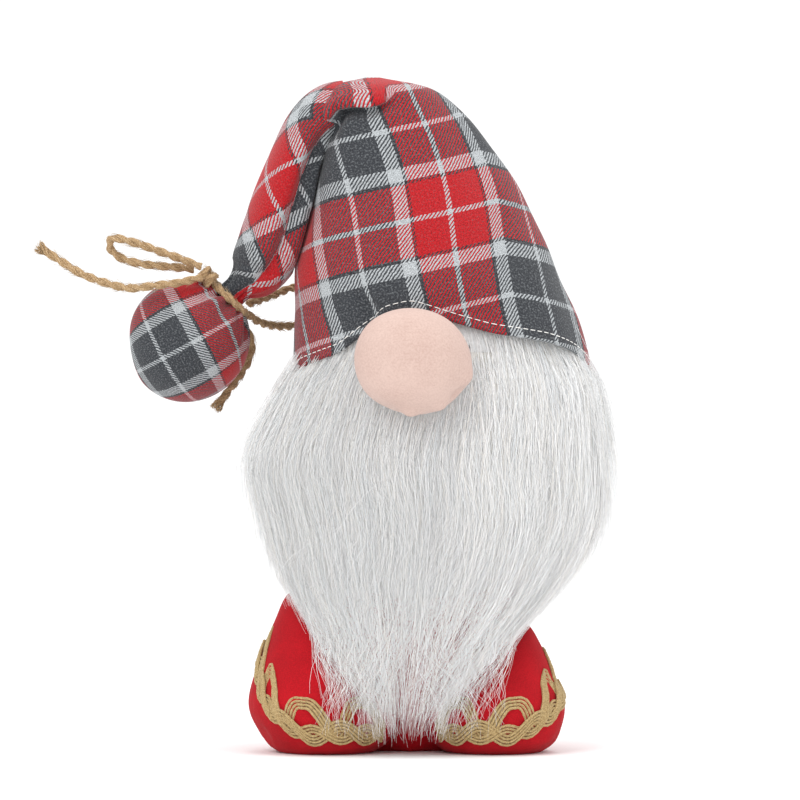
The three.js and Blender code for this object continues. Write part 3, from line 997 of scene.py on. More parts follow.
@dataclass
class Tail:
    """The folded-over tail of the hat, gathered at its neck."""

    cloth: bpy.types.Material
    cone: LevelForm
    rows: int = 220
    columns: int = 151
    clear: float = 0.5  # mm between the tail and the cone
    turn_back: float = 15.0  # mm along the tail where its cloth turns back on itself at the fold
    cloth_thickness: float = 0.9
    stations: Sequence[tuple[float, float, float, float]] = (
        (-22.0, 240.5, 9.0, 15.0),
        (-30.0, 237.4, 10.2, 16.5),
        (-36.8, 230.2, 10.4, 17.0),
        (-42.4, 217.5, 10.8, 17.5),
        (-47.0, 204.0, 12.0, 18.0),
        (-50.8, 191.0, 12.6, 17.5),
        (-54.0, 183.0, 11.6, 15.0),
        (-58.6, 176.2, 9.2, 10.0),
        (-63.6, 171.7, 5.15, 5.2),
        (-67.5, 168.0, 5.1, 5.1),
        (-69.6, 165.8, 3.2, 3.2),
    )

    def rings(self, rows: int, columns: int) -> tuple[Array, Array, Array]:
        """The tail's grid, with its fraction along and its angle around at each point."""
        spine = curve_through(np.array(self.stations), rows)
        centre = np.stack([spine[:, 0], 0 * spine[:, 0], spine[:, 1]], axis=-1)
        along = np.gradient(centre, axis=0)
        along /= np.linalg.norm(along, axis=-1, keepdims=True)
        across = np.stack([along[:, 2], 0 * along[:, 0], -along[:, 0]], axis=-1)
        part, angle = np.meshgrid(
            np.linspace(0, 1, rows),
            np.linspace(math.pi / 2, math.pi / 2 - TAU, columns),
            indexing="ij",
        )
        lift = self.relief(part, angle)
        wide = (spine[:, [2]] + lift) * np.cos(angle)
        deep = (spine[:, [3]] + lift) * np.sin(angle)
        grid = centre[:, None] + wide[..., None] * across[:, None]
        grid = grid + deep[..., None] * np.array([0.0, 1.0, 0.0])
        return grid, part, angle

    @staticmethod
    def from_front(angle: Array) -> Array:
        """Angle round the tail from its front, growing to the outside."""
        return np.angle(np.exp(1j * (angle + math.pi / 2)))

    def valley(self, part: Array, angle: Array) -> Array:
        """Angle from the valley between the tail's two rolls, less than 0 beside the cone."""
        return self.from_front(angle) + 0.42 - 0.5 * (part - 0.4)

    def relief(self, part: Array, angle: Array) -> Array:
        """Rolls down the front, wrinkles, and pleats drawn in to the neck, in mm."""
        front = self.from_front(angle)
        body = smoothstep(0.12, 0.3, part) * smoothstep(0.78, 0.6, part)
        valley = self.valley(part, angle)
        rolls = -3.4 * bump(valley, 0, 0.2) + 1.3 * bump(valley, -0.5, 0.35)
        rolls = rolls + 0.9 * bump(valley, 0.6, 0.4)
        soft = 0.5 * ripple(front * 2.5, part * 9, seed=12, reach=1.5)
        fold = -0.9 * bump(part - 0.66 - 0.05 * front, 0, 0.018)
        fold = fold * smoothstep(1.6, 0.6, np.abs(front))
        fold = fold - 0.7 * bump(part - 0.58 + 0.08 * front, 0, 0.02) * bump(front, 0.6, 0.7)
        fold = fold + 0.8 * bump(part, 0.66, 0.1)
        gather = smoothstep(0.62, 0.9, part)
        pleats = np.cos(9 * angle + 2.2 * np.sin(3 * angle) + 5 * part)
        pleats = 0.7 * gather * smoothstep(0.97, 0.8, part) * pleats
        return body * (rolls + soft) + fold + pleats

    def build(self) -> None:
        """Make the tail."""
        grid, part, angle = self.rings(self.rows, self.columns)
        clear = push_out(grid, self.cone, self.clear)
        grid = grid + (clear - grid) * smoothstep(0.2, 0.32, part)[..., None]
        along = arc_lengths(grid, axis=0).mean(axis=1, keepdims=True)
        around = arc_lengths(grid, axis=1)
        front = around - around[:, [angle.shape[1] // 2]]
        along = np.abs(along - self.turn_back) + self.turn_back
        u, v = turned(-front - 11.0, 1.15 * (along - 41.5), 45.0)
        inner = np.where(self.valley(part, angle) < 0, 1.0, 0.0)  # the roll beside the cone
        uv = np.stack([u + 19.0 + 42.0 * inner, v + 19.0 + 52.0 * inner], axis=-1) * MM
        made = sheet_object("hat_tail", grid, uv)
        face_out(made)
        thicken(made, self.cloth_thickness)
        finish(made, self.cloth, Slot.PLAID, Body.TAIL, "tail_cover")


# ---- Bobble and twine --------------------------------------------------------------------------

NECK = (-67.5, 0.0, 168.0)  # middle of the tied neck between the tail and the bobble, in mm


@dataclass
class Bobble:
    """The bobble at the end of the tail: a gathered disc of flannel round a ball of fill."""

    cloth: bpy.types.Material
    neck: tuple[float, float, float] = NECK
    centre: tuple[float, float, float] = (-83.0, 0.0, 152.0)
    radius: float = 22.6
    depth: float = 0.95  # front to back, against its width
    corner: tuple[float, float] = (-3.0, -13.8)  # where two wide stripes cross, from its front
    slant: float = 61.4  # degrees from level to one set of stripes
    gathered: float = 1.25  # mm of cloth for each mm of the ball
    mouth: float = 0.34  # radians from the neck's axis to the gathered edge
    origin: float = 38.0  # mm along the sett where the wide stripes cross
    cloth_thickness: float = 0.9

    def frame(self) -> tuple[Array, Array, Array]:
        """Unit vectors: away from the neck, across it in the fold's plane, and towards the back."""
        away = np.array(self.centre) - np.array(self.neck)
        away /= np.linalg.norm(away)
        side = np.array([away[2], 0.0, -away[0]])
        return away, side, np.array([0.0, 1.0, 0.0])

    def cloth_map(self, ball: Array) -> Array:
        """Cloth coordinates in metres, spread from the ball's front and, mirrored, its back."""
        way = ball / np.linalg.norm(ball, axis=-1, keepdims=True)
        across, down = way[..., 0], -way[..., 2]
        wide = np.hypot(across, down)
        stretch = self.radius * np.arcsin(np.clip(wide, 0, 1)) / np.maximum(wide, 1e-6)
        from_x = across * stretch - self.corner[0]
        from_z = down * stretch - self.corner[1]
        c, s = math.cos(math.radians(self.slant)), math.sin(math.radians(self.slant))
        u = self.origin + self.gathered * (from_x * c + from_z * s)
        v = self.origin + self.gathered * (from_z * c - from_x * s)
        return np.stack([u, v], axis=-1) * MM

    def build(self) -> None:
        """Make the ball, from the pole away from the neck round to the gathered mouth."""
        away, side, back = self.frame()
        tilt, spin = np.meshgrid(
            np.linspace(0, math.pi - self.mouth, 130), np.linspace(0, TAU, 193), indexing="ij"
        )
        near_neck = smoothstep(1.9, 2.9, tilt)
        pleats = 0.9 * near_neck * np.cos(13 * spin + 1.5 * np.sin(2 * spin))
        flat_x, flat_y = np.cos(spin) * tilt * 1.6, np.sin(spin) * tilt * 1.6
        soft = 0.45 * ripple(flat_x, flat_y, seed=21, reach=2.0)
        flat = -1.6 * bump(tilt, 0.5, 0.5) * bump(np.cos(spin - 0.7), 1, 0.6)
        r = self.radius + (pleats + soft + flat)
        ball = (
            np.cos(tilt)[..., None] * away
            + (np.sin(tilt) * np.cos(spin))[..., None] * side
            + (np.sin(tilt) * np.sin(spin) * self.depth)[..., None] * back
        )
        grid = np.array(self.centre) + ball * r[..., None]
        made = sheet_object("bobble", grid, self.cloth_map(ball))
        face_out(made)
        thicken(made, self.cloth_thickness)
        finish(made, self.cloth, Slot.PLAID, Body.BOBBLE, "bobble_cover")


class TwineEnd(Enum):
    """How a stretch of twine ends."""

    TIED = "object"
    FRAYED = "bare"


@dataclass
class Twine:
    """Two-ply jute twine: plies wound round a route, with loose fibres standing off it."""

    jute: bpy.types.Material
    diameter: float = 3.0
    lay: float = 11.0  # mm along the twine for one turn of a ply
    fray: float = 5.5  # mm of loosened fibre at a cut end
    plies: int = 2
    yarns: int = 5  # in each ply
    yarn_radius: float = 0.47
    fibre_radius: float = 0.1
    fuzz: float = 2.2  # loose fibres for each mm of twine
    end_fibres: int = 90  # more of them at a cut end
    step: float = 0.55  # mm from one point of a yarn to the next

    def __post_init__(self) -> None:
        """Build the strand tree once."""
        self.tree = StrandTree("twine plies", self.jute)

    @staticmethod
    def spaced(route: Array, step: float, closed: bool = False) -> Array:
        """Points at an even spacing along a smooth curve through the route."""
        points = np.vstack([route, route[:1]]) if closed else route
        fine = curve_through(points, 60 * len(points))
        length = arc_lengths(fine, axis=0)
        where = np.linspace(0, length[-1], max(int(length[-1] / step), 8))
        return resampled(where, length, fine)

    @staticmethod
    def normals(line: Array) -> tuple[Array, Array]:
        """Two unit vectors across a line at each point, turned as little as possible."""
        along = np.gradient(line, axis=0)
        along /= np.linalg.norm(along, axis=-1, keepdims=True)
        first = np.empty_like(line)
        ref = np.array([0.0, 0.3, 1.0])
        for i, direction in enumerate(along):
            ref = ref - direction * ref.dot(direction)
            ref /= np.linalg.norm(ref)
            first[i] = ref
        return first, np.cross(along, first)

    def lay_up(self, name: str, line: Array, seed: int, frayed: bool) -> bpy.types.Object:
        """Wind the plies and fibres round a line.

        Args:
            name: The piece's name.
            line: Evenly spaced points of the twine's middle, in mm.
            seed: Seed of the loose fibres.
            frayed: Whether the last stretch opens out into loose fibre.

        Returns:
            The twine as one mesh.
        """
        rng = np.random.default_rng(seed)
        first, second = self.normals(line)
        length = arc_lengths(line, axis=0)
        total = length[-1]
        fray = smoothstep(total - self.fray, total, length) if frayed else 0 * length
        yarns, tapers = [], []
        for ply in range(self.plies):
            for yarn in range(self.yarns):
                swing = TAU * length / self.lay + ply * math.pi
                own = TAU * yarn / self.yarns + 0.7 * swing
                out = 0.22 * self.diameter
                small = (0.18 + 0.3 * fray) * self.diameter
                u = out * np.cos(swing) + small * np.cos(own)
                v = out * np.sin(swing) + small * np.sin(own)
                yarns.append(line + u[:, None] * first + v[:, None] * second)
                tapers.append(1 - 0.45 * fray)
        made = self.tree.grow(name, np.array(yarns), np.array(tapers), self.yarn_radius, sides=6)
        hairs, hair_tapers = [], []
        reach = np.linspace(0, 1, 5)
        count = int(total * self.fuzz) + (self.end_fibres if frayed else 0)
        for number in range(count):
            loose = frayed and number >= count - self.end_fibres
            at = rng.uniform(total - self.fray, total - 1) if loose else rng.uniform(0, total - 4)
            span = rng.uniform(2.0, 4.5) if loose else rng.uniform(3, 6)
            turn = rng.uniform(0, TAU)
            lift = rng.uniform(0.15, 0.55 if loose else 0.5) * self.diameter
            run = np.minimum(at + span * reach, total)
            over = at + span * reach - run
            mid, a, b = (resampled(run, length, each) for each in (line, first, second))
            out = 0.42 * self.diameter + lift * reach**1.5
            wind = turn + 0.8 * reach
            end = (line[-1] - line[-2]) / np.linalg.norm(line[-1] - line[-2])
            hair = mid + (out * np.cos(wind))[:, None] * a + (out * np.sin(wind))[:, None] * b
            hairs.append(hair + over[:, None] * 0.4 * end)
            hair_tapers.append(1 - 0.7 * reach)
        fuzz = self.tree.grow(
            f"{name}_fuzz", np.array(hairs), np.array(hair_tapers), self.fibre_radius
        )
        return join(made, fuzz)


def join(first: bpy.types.Object, *others: bpy.types.Object) -> bpy.types.Object:
    """Join plain mesh objects into the first, which keeps its name."""
    work = bmesh.new()
    for each in (first, *others):
        work.from_mesh(each.data)
    work.to_mesh(first.data)
    work.free()
    for each in others:
        mesh = each.data
        bpy.data.objects.remove(each)
        bpy.data.meshes.remove(mesh)
    return first


@dataclass
class Bow:
    """The twine tied round the neck in a bow: wrap, knot, two loops and two ends."""

    twine: Twine
    neck: tuple[float, float, float] = NECK
    wrap_radius: float = 8.4
    knot: tuple[float, float, float] = (-75.4, -7.7, 175.8)
    loops: dict[str, Sequence[tuple[float, float, float]]] = field(
        default_factory=lambda: {
            "twine_loop_left": (
                (-77.6, -9.5, 179.5),
                (-91, -12, 184.5),
                (-104, -13, 189),
                (-110.5, -11, 190),
                (-111.5, -8, 186.5),
                (-108, -6, 183),
                (-100, -7, 180.6),
                (-91, -6.5, 179.6),
                (-80.5, -5, 178.6),
            ),
            "twine_loop_right": (
                (-60.5, 9.5, 161.5),
                (-56, 17, 158.5),
                (-49.5, 27, 157),
                (-42, 37, 157.5),
                (-35, 46, 160),
                (-33, 50, 166),
                (-37, 48, 171),
                (-44, 40, 171.5),
                (-52, 30, 168.5),
                (-60.5, 17, 165.5),
            ),
        }
    )
    ends: dict[str, Sequence[tuple[float, float, float]]] = field(
        default_factory=lambda: {
            "twine_end_left": (
                (-77.5, -12.5, 175.5),
                (-86, -17, 173.5),
                (-95, -19, 172.5),
                (-103, -18, 171.5),
                (-111, -16, 173),
                (-121, -14, 176.5),
                (-129.5, -13, 181.5),
                (-138, -12, 187),
            ),
            "twine_end_right": (
                (-62.8, 12.5, 158.5),
                (-59.5, 19, 151),
                (-61, 19, 143.5),
                (-65, 15, 137),
                (-69, 10, 131.5),
                (-72.7, 8, 126.4),
            ),
        }
    )

    def build(self) -> None:
        """Make the bow's loops and frayed ends, then its wrap and knot."""
        for seed, (routes, kind) in enumerate(
            ((self.loops, TwineEnd.TIED), (self.ends, TwineEnd.FRAYED))
        ):
            for number, (name, route) in enumerate(routes.items()):
                line = self.twine.spaced(np.array(route, float), self.twine.step)
                piece = name.replace("twine", "bow")
                made = self.twine.lay_up(
                    piece, line, 40 + 7 * seed + number, kind is TwineEnd.FRAYED
                )
                finish(made, self.twine.jute, Slot.JUTE, Body.BOBBLE, name)
        self.wrap_neck()
        self.tie_knot()

    def wrap_neck(self) -> None:
        """Wind the twine round the neck."""
        away = np.array([-0.695, 0.0, -0.718])
        side = np.array([away[2], 0.0, -away[0]])
        spin = np.linspace(0, TAU, 40)[:, None]
        ring = np.array(self.neck) + self.wrap_radius * (
            np.cos(spin) * side + np.sin(spin) * np.array([0.0, 1.0, 0.0])
        )
        line = self.twine.spaced(ring, self.twine.step)
        made = self.twine.lay_up("bow_wrap", line, 60, frayed=False)
        finish(made, self.twine.jute, Slot.JUTE, Body.BOBBLE, "twine_wrap")

    def tie_knot(self) -> None:
        """Wind a short stretch round and over itself as the bow's knot."""
        t = np.linspace(0, TAU, 60)[:-1]
        path = np.stack(
            [
                2.6 * np.cos(t) + 0.9 * np.cos(3 * t),
                2.4 * np.sin(2 * t) * 0.9,
                2.6 * np.sin(t) - 0.8 * np.sin(3 * t),
            ],
            axis=-1,
        ) * 0.82 + np.array(self.knot)
        line = self.twine.spaced(path, 0.5, closed=True)
        made = self.twine.lay_up("bow_knot", line, 61, frayed=False)
        finish(made, self.twine.jute, Slot.JUTE, Body.BOBBLE, "twine_knot")


# ---- Nose --------------------------------------------------------------------------------------


@dataclass
class Nose:
    """The round nose: a gathered disc of fleece, drawn up behind, pressed against the beard."""

    cloth: bpy.types.Material
    centre: tuple[float, float, float] = (1.0, -62.0, 145.0)
    half: tuple[float, float, float] = (21.0, 18.0, 19.0)
    back: float = -44.6  # where it is pressed flat, along Y
    dents: Sequence[tuple[tuple[float, float, float], float, float]] = (
        ((0.78, -0.25, -0.66), -2.6, 0.17),
        ((0.66, -0.55, -0.55), -0.7, 0.14),
        ((0.97, -0.25, -0.30), 1.5, 0.22),
        ((0.48, -0.35, -0.84), 1.4, 0.18),
        ((-0.05, -0.35, -1.0), 1.8, 0.16),
        ((-0.45, -0.2, -0.9), -0.9, 0.3),
        ((0.9, -0.5, 0.35), -1.1, 0.45),
        ((-0.7, -0.3, 0.7), 0.8, 0.4),
    )

    def build(self) -> None:
        """Make the ball with its soft dents and the nub at its foot."""
        tilt, spin = np.meshgrid(
            np.linspace(0, math.pi, 110), np.linspace(0, TAU, 161), indexing="ij"
        )
        way = np.stack(
            [np.sin(tilt) * np.cos(spin), -np.cos(tilt), np.sin(tilt) * np.sin(spin)], axis=-1
        )
        lift = 0.35 * ripple(way[..., 0] * 2, way[..., 2] * 2, seed=31, reach=2.2)
        for aim, depth, width in self.dents:
            near = np.linalg.norm(way - np.array(aim) / np.linalg.norm(aim), axis=-1)
            lift = lift + depth * bump(near, 0, width)
        lift = np.maximum(lift + 0.6, -1.0)
        grid = np.array(self.centre) + way * (np.array(self.half) + lift[..., None])
        over = np.maximum(grid[..., 1] - self.back, 0)
        grid[..., 1] -= over * 0.98
        made = sheet_object("nose", grid)
        face_out(made)
        finish(made, self.cloth, Slot.FLEECE, Body.ROOT, "nose_cover")


# ---- Body and boots ----------------------------------------------------------------------------


@dataclass
class BodySack:
    """The stuffed red cotton body under the hat and beard."""

    cloth: bpy.types.Material
    stations: Sequence[tuple[float, float, float, float, float]] = (
        (0.0, 0.0, 8.0, 34.0, 32.0),
        (12.0, 0.0, 8.0, 38.0, 36.0),
        (60.0, 2.0, 5.0, 44.0, 41.0),
        (105.0, 7.0, 2.0, 50.0, 45.0),
        (140.0, 10.0, 0.0, 49.0, 45.0),
        (168.0, 8.0, 0.0, 39.0, 37.0),
        (182.0, 6.0, 0.0, 22.0, 21.0),
        (186.0, 5.0, 0.0, 5.0, 5.0),
    )
    form: LevelForm = field(init=False)

    def __post_init__(self) -> None:
        """Make the level form once."""
        self.form = LevelForm(self.stations)

    def relief(self, height: Array, turn: Array) -> Array:
        """Soft stuffed folds, with a seam down the back and drawn-in pleats at the foot."""
        soft = 0.5 * ripple(turn * 3, height / 14, seed=51, reach=1.5)
        seam = -1.1 * bump(np.abs(turn), math.pi, 0.035)
        seam = seam + 0.4 * bump(np.abs(turn), math.pi - 0.1, 0.07)
        pleats = 0.45 * smoothstep(34, 8, height) * np.cos(15 * turn + 2 * np.sin(2 * turn))
        return soft + (seam + pleats) * smoothstep(150, 120, height)

    def held(self, place_mm: Array) -> Array:
        """Hold the foot, the top and the seam down the back while the sack is filled."""
        x, _, z = place_mm.T
        ends = np.maximum(smoothstep(7, 3, z), smoothstep(150, 165, z))
        seam = bump(x, 4, 2.5) * (place_mm[:, 1] > 0)
        return np.maximum(ends, seam)

    def front(self, x: Array, z: Array, gap: float) -> Array:
        """The body's front at given x and z, or a large value beside it."""
        xc, yc, a, b = self.form.at(z)
        reach = (x - xc) / (a + gap)
        face = yc - (b + gap) * np.sqrt(np.maximum(1 - reach**2, 0))
        return np.where(np.abs(reach) < 1, face, 1e3)

    def build(self) -> None:
        """Make the sack."""
        made = level_solid("body_sack", self.form, self.relief, (120, 161))
        Stuffing(voxel=4.0, limit=1.6).fill(made, self.held)
        finish(made, self.cloth, Slot.RED, Body.ROOT, "body_cover")


@dataclass
class Boot:
    """One stuffed red boot."""

    name: str
    cloth: bpy.types.Material
    stations: Sequence[tuple[float, float, float, float, float]]
    seed: int
    form: LevelForm = field(init=False)

    def __post_init__(self) -> None:
        """Make the level form once."""
        self.form = LevelForm(self.stations)

    def relief(self, height: Array, turn: Array) -> Array:
        """Soft wrinkles in the stuffed cotton."""
        soft = 0.55 * ripple(turn * 2.5, height / 9, seed=self.seed, reach=1.6)
        soft = soft + 0.3 * ripple(turn * 7, height / 5, seed=self.seed + 5, reach=1.4)
        crease = -0.8 * bump(height - 24 - 3 * np.sin(turn * 2 + self.seed), 0, 2.2)
        return soft + crease * bump(turn, 0.3, 1.2)

    @staticmethod
    def held(place_mm: Array) -> Array:
        """Hold the sole while the boot is filled."""
        return smoothstep(4.5, 2, place_mm[:, 2])

    def surface(self, height: Array, turn: Array, lift: Array | float = 0.0) -> Array:
        """Points of the boot's surface, lifted off it."""
        return self.form.point(height, turn, self.relief(height, turn) + lift)

    def build(self) -> None:
        """Make the boot."""
        made = level_solid(self.name, self.form, self.relief, (90, 121))
        Stuffing(voxel=2.4, limit=0.6).fill(made, self.held)
        finish(made, self.cloth, Slot.RED, Body.ROOT, f"{self.name}_cover")


@dataclass
class Gimp:
    """Braided jute trim: arches of parallel cords over a waving band of cords, round a boot."""

    jute: bpy.types.Material
    boot: Boot
    inner: float  # turn of the end beside the other boot, in radians
    outer: float  # turn of the end at the outer side
    climb: float = 19.0  # mm that the trim rises on the outer side
    cords: int = 4
    cord_radius: float = 0.56  # mm
    pitch: float = 20.5  # mm from one arch to the next
    arch: float = 12.0  # mm height of an arch's middle cord over its feet
    band: float = 2.8  # mm that the lower bands swing up and down
    low: float = 8.5  # mm height of the lower band's middle in front
    samples: int = 520  # points along each cord

    def lay(self, base: Array, turn: Array, height: Array, aside: float, lift: Array) -> Array:
        """Put one cord on the boot, beside the middle line of its bundle.

        Args:
            base: Height of the trim's line at each turn, in mm.
            turn: Turns along the trim.
            height: Height of the bundle's middle line over the trim's line.
            aside: Distance of the cord from the middle line, across it.
            lift: Distance off the boot.

        Returns:
            Points along the cord.
        """
        length = arc_lengths(self.boot.surface(base, turn, 0.4), axis=0)
        slope = np.gradient(height, length)
        size = np.sqrt(1 + slope**2)
        along = np.clip(length - aside * slope / size, 0, length[-1])
        turns = np.interp(along, length, turn)
        bases = np.interp(along, length, base)
        return self.boot.surface(bases + height + aside / size, turns, lift)

    def build(self) -> None:
        """Lay the cords along their waves and turn them into strands."""
        turn = np.linspace(self.inner, self.outer, self.samples)
        base = self.low + self.climb * smoothstep(0.45, 1.0, np.linspace(0, 1, self.samples))
        length = arc_lengths(self.boot.surface(base, turn, 0.4), axis=0)
        swing = TAU * length / self.pitch
        arches = self.arch * (1 - np.abs(np.cos(swing / 2)) ** 3.4) - 1.0
        waves = self.band * np.cos(swing + 0.5)
        paths = []
        for cord in range(self.cords):
            aside = (cord - (self.cords - 1) / 2) * 2.05 * self.cord_radius
            paths.append(self.lay(base, turn, arches, aside, 0.6 + 0.35 * np.sin(swing)))
            paths.append(self.lay(base, turn, waves, aside, 1.1 - 0.35 * np.sin(swing)))
            if cord < self.cords - 1:
                paths.append(self.lay(base, turn, -0.8 * waves, aside, 0.8 + 0.3 * np.cos(swing)))
        tree = StrandTree(f"{self.boot.name} trim", self.jute)
        lines = np.array(paths)
        twist = 1 + 0.1 * np.sin(TAU * length / 1.7)
        taper = np.broadcast_to(twist, lines.shape[:2]).copy()
        made = tree.grow(f"{self.boot.name}_trim", lines, taper, self.cord_radius, sides=6)
        finish(made, self.jute, Slot.JUTE, Body.ROOT, f"{self.boot.name}_braid")


# ---- Beard -------------------------------------------------------------------------------------


@dataclass
class Beard:
    """Long faux fur on a knitted backing: an undercoat and several layers of loose fibre locks."""

    sack: BodySack
    knit: bpy.types.Material
    under: bpy.types.Material
    coats: Sequence[bpy.types.Material]
    low: float = 62.0  # lower edge of the backing
    high: float = 148.0  # upper edge, under the hat
    rounded: float = 46.0  # how much higher the lower edge is at the two sides
    reach: float = 1.5  # how far round it goes on each side, in radians
    gap: float = 1.2  # between the body and the backing
    locks: int = 404
    fibres: int = 64  # in each lock
    points: int = 8
    long_share: float = 0.05  # of the locks, those that hang down to the feet
    strays: int = 1100
    radius: float = 0.1
    seed: int = 77
    pile: Sequence[tuple[float, float, float, float, float]] = (
        (3.0, -1.0, -50.0, 15.0, 5.5),
        (9.0, -1.5, -50.0, 14.0, 6.0),
        (16.0, -2.0, -50.0, 13.0, 7.0),
        (26.0, -0.5, -48.5, 17.5, 10.5),
        (38.0, 1.0, -43.0, 31.0, 18.0),
        (60.0, 5.0, -28.0, 47.5, 32.0),
        (85.0, 8.0, -16.0, 58.0, 42.0),
        (108.0, 6.0, -11.0, 62.0, 45.0),
        (128.0, 9.5, -8.0, 58.0, 45.0),
        (150.0, 11.5, -3.5, 52.5, 45.5),
        (172.0, 8.0, -1.0, 45.5, 41.5),
        (186.0, 5.0, 0.0, 39.0, 36.0),
    )
    form: LevelForm = field(init=False)

    def __post_init__(self) -> None:
        """Make the pile's level form once."""
        self.form = LevelForm(self.pile)

    def envelope(self, height: Array, across: Array, depth: Array) -> Array:
        """Points in the pile.

        Args:
            height: Heights in mm.
            across: Place across the beard, from -1 on the left to 1 on the right.
            depth: 0 at the middle of the level ring and 1 at the pile's surface.

        Returns:
            Points, with a last axis of x, y, z.
        """
        x, y, a, b = self.form.at(height)
        turn = across * math.radians(108)
        px = x + a * depth * np.sin(turn)
        py = y - b * depth * np.cos(turn)
        return np.stack(np.broadcast_arrays(px, py, height), axis=-1)

    def build(self) -> None:
        """Make the backing, the undercoat and the fibre locks."""
        self.sew_backing()
        self.grow_undercoat()
        self.grow_locks()

    def sew_backing(self) -> None:
        """Make the knitted sheet that the fibres stand on."""
        share, turn = np.meshgrid(
            np.linspace(0, 1, 60), np.linspace(-self.reach, self.reach, 101), indexing="ij"
        )
        low = self.low + self.rounded * smoothstep(0.5, self.reach, np.abs(turn))
        height = low + (self.high - low) * share
        relief = self.sack.relief(height, turn)
        grid = self.sack.form.point(height, turn, relief + self.gap + 1.0)
        made = sheet_object("beard_knit", grid)
        thicken(made, 1.0, offset=0.0)
        face_out(made)
        finish(made, self.knit, Slot.KNIT, Body.ROOT, "beard_backing")

    def grow_undercoat(self) -> None:
        """Make the dense short fur under the locks as one soft form that hugs the body."""
        rows = []
        for z, x, y, a, b in self.pile:
            share = 0.9 - 0.07 * smoothstep(105, 140, z)
            if z > 70:
                rows.append((z, x, y, share * a, share * b))
        foot = [(58.0, 3.0, -31.0, 10.0, 6.0), (64.0, 4.0, -27.0, 32.0, 20.0)]
        form = LevelForm(foot + rows, 140)
        z = form.rows[:, 0]
        height = np.linspace(z[0], 172, 140)
        turn = np.linspace(-math.pi, math.pi, 241)
        heights, turns = np.meshgrid(height, turn, indexing="ij")
        comb = 0.9 * np.sin(23 * turns + 3 * np.sin(heights / 15)) * smoothstep(60, 70, heights)
        comb = comb + 0.6 * np.sin(41 * turns + 2.5 * np.sin(heights / 9 + 1))
        grid = form.point(heights, turns, comb * smoothstep(2.2, 1.2, np.abs(turns)))
        wall = self.sack.front(grid[..., 0], grid[..., 2], self.gap + 1.2)
        grid[..., 1] = np.minimum(grid[..., 1], wall)
        ends = [np.repeat(grid[[k]].mean(1, keepdims=True), len(turn), 1) for k in (0, -1)]
        grid = np.concatenate([ends[0], grid, ends[1]])
        made = sheet_object("beard_undercoat", grid)
        face_out(made)
        finish(made, self.under, Slot.FUR, Body.ROOT, "beard_pile")

    def lock_paths(self, rng: np.random.Generator, lock: int) -> list[Array]:
        """Paths of the fibres of one lock, which draw together towards its end."""
        t = np.linspace(0, 1, self.points)
        start = 84 + (lock / self.locks) ** 0.8 * 96 + rng.uniform(-4, 4)
        long = rng.random() < self.long_share
        across = rng.uniform(-1, 1) * (0.62 if long else 1.0)
        edge = min(abs(across) * 1.1, 1.0)
        fall = rng.uniform(62, 112) * (1 - 0.3 * smoothstep(0.75, 1.0, edge))
        end = 5 + rng.exponential(7) if long else max(start - fall, rng.normal(61, 13))
        end = min(max(end, (5 if long else 12) + (14 if long else 50) * edge**1.15), start - 22)
        depth = rng.uniform(0.93, 1.03)
        sway, phase = rng.uniform(-0.06, 0.06), rng.uniform(0, TAU)
        spread = rng.uniform(0.1, 0.2) if long else rng.uniform(0.03, 0.06)
        clump = rng.uniform(-0.8, 0.3) if long else rng.uniform(0.35, 0.8)
        flare = rng.uniform(-0.02, 0.05) + 0.06 * smoothstep(0.7, 1, edge)
        paths = []
        for _ in range(self.fibres):
            own = rng.normal(0, 1, 2)
            begin = start + rng.uniform(-6, 6)
            stop = max(end + rng.uniform(-4, 16) - 4, rng.uniform(3.5, 17))
            height = np.clip(begin + (stop - begin) * t, 3.5, 184)
            gather = 1 - clump * t**1.6
            side = across + sway * np.sin(2.4 * t + phase) + own[0] * spread * gather
            bend = np.sin(rng.uniform(3, 8) * t + rng.uniform(0, TAU)) * t
            side = side + rng.uniform(0.006, 0.1 if long else 0.045) * bend
            rise = 0.7 + (depth - 0.7) * smoothstep(0, 0.22, t)
            out = rise + own[1] * 0.016 * (1 + t) + flare * t**2
            out = out - 0.07 * smoothstep(134, 150, height)
            paths.append(self.envelope(height, side, out))
        return paths

    def stray_paths(self, rng: np.random.Generator) -> list[Array]:
        """Paths of single fibres that have come away from the locks, over the boots and sides."""
        t = np.linspace(0, 1, self.points)
        paths = []
        for _ in range(self.strays):
            across = np.clip(rng.normal(0, 0.55), -0.9, 0.9)
            start = rng.uniform(45, 120)
            stop = max(start - rng.uniform(35, 75), 6 + rng.uniform(0, 16))
            wave, phase = rng.uniform(0.02, 0.09), rng.uniform(0, TAU)
            side = across + wave * np.sin(rng.uniform(2, 6) * t + phase)
            side = side + rng.normal(0, 0.22) * t**2
            out = rng.uniform(0.95, 1.02) + rng.uniform(0.0, 0.12) * t**1.5
            height = start + (stop - start) * t
            line = self.envelope(height, side, out)
            widen = rng.uniform(0.0, 0.9) * smoothstep(50, 15, height)
            line[..., 0] += widen * 22 * np.sign(across + 0.001) * (1 + 0.3 * np.sin(5 * t + phase))
            paths.append(line)
        return paths

    def grow_locks(self) -> None:
        """Grow the fibre locks and the stray fibres, one piece per coat colour."""
        rng = np.random.default_rng(self.seed)
        strands: list[list[Array]] = [[] for _ in self.coats]
        for lock in range(self.locks):
            for path in self.lock_paths(rng, lock):
                strands[rng.integers(len(self.coats))].append(path)
        for path in self.stray_paths(rng):
            strands[rng.integers(len(self.coats))].append(path)
        taper = 1 - 0.72 * np.linspace(0, 1, self.points) ** 1.5
        for number, (coat, paths) in enumerate(zip(self.coats, strands)):
            tree = StrandTree(f"beard fibres {number + 1}", coat)
            lines = np.array(paths)
            tapers = np.broadcast_to(taper, lines.shape[:2]).copy()
            made = tree.grow(f"beard_fibres_{number + 1}", lines, tapers, self.radius)
            finish(made, coat, Slot.FUR, Body.ROOT)


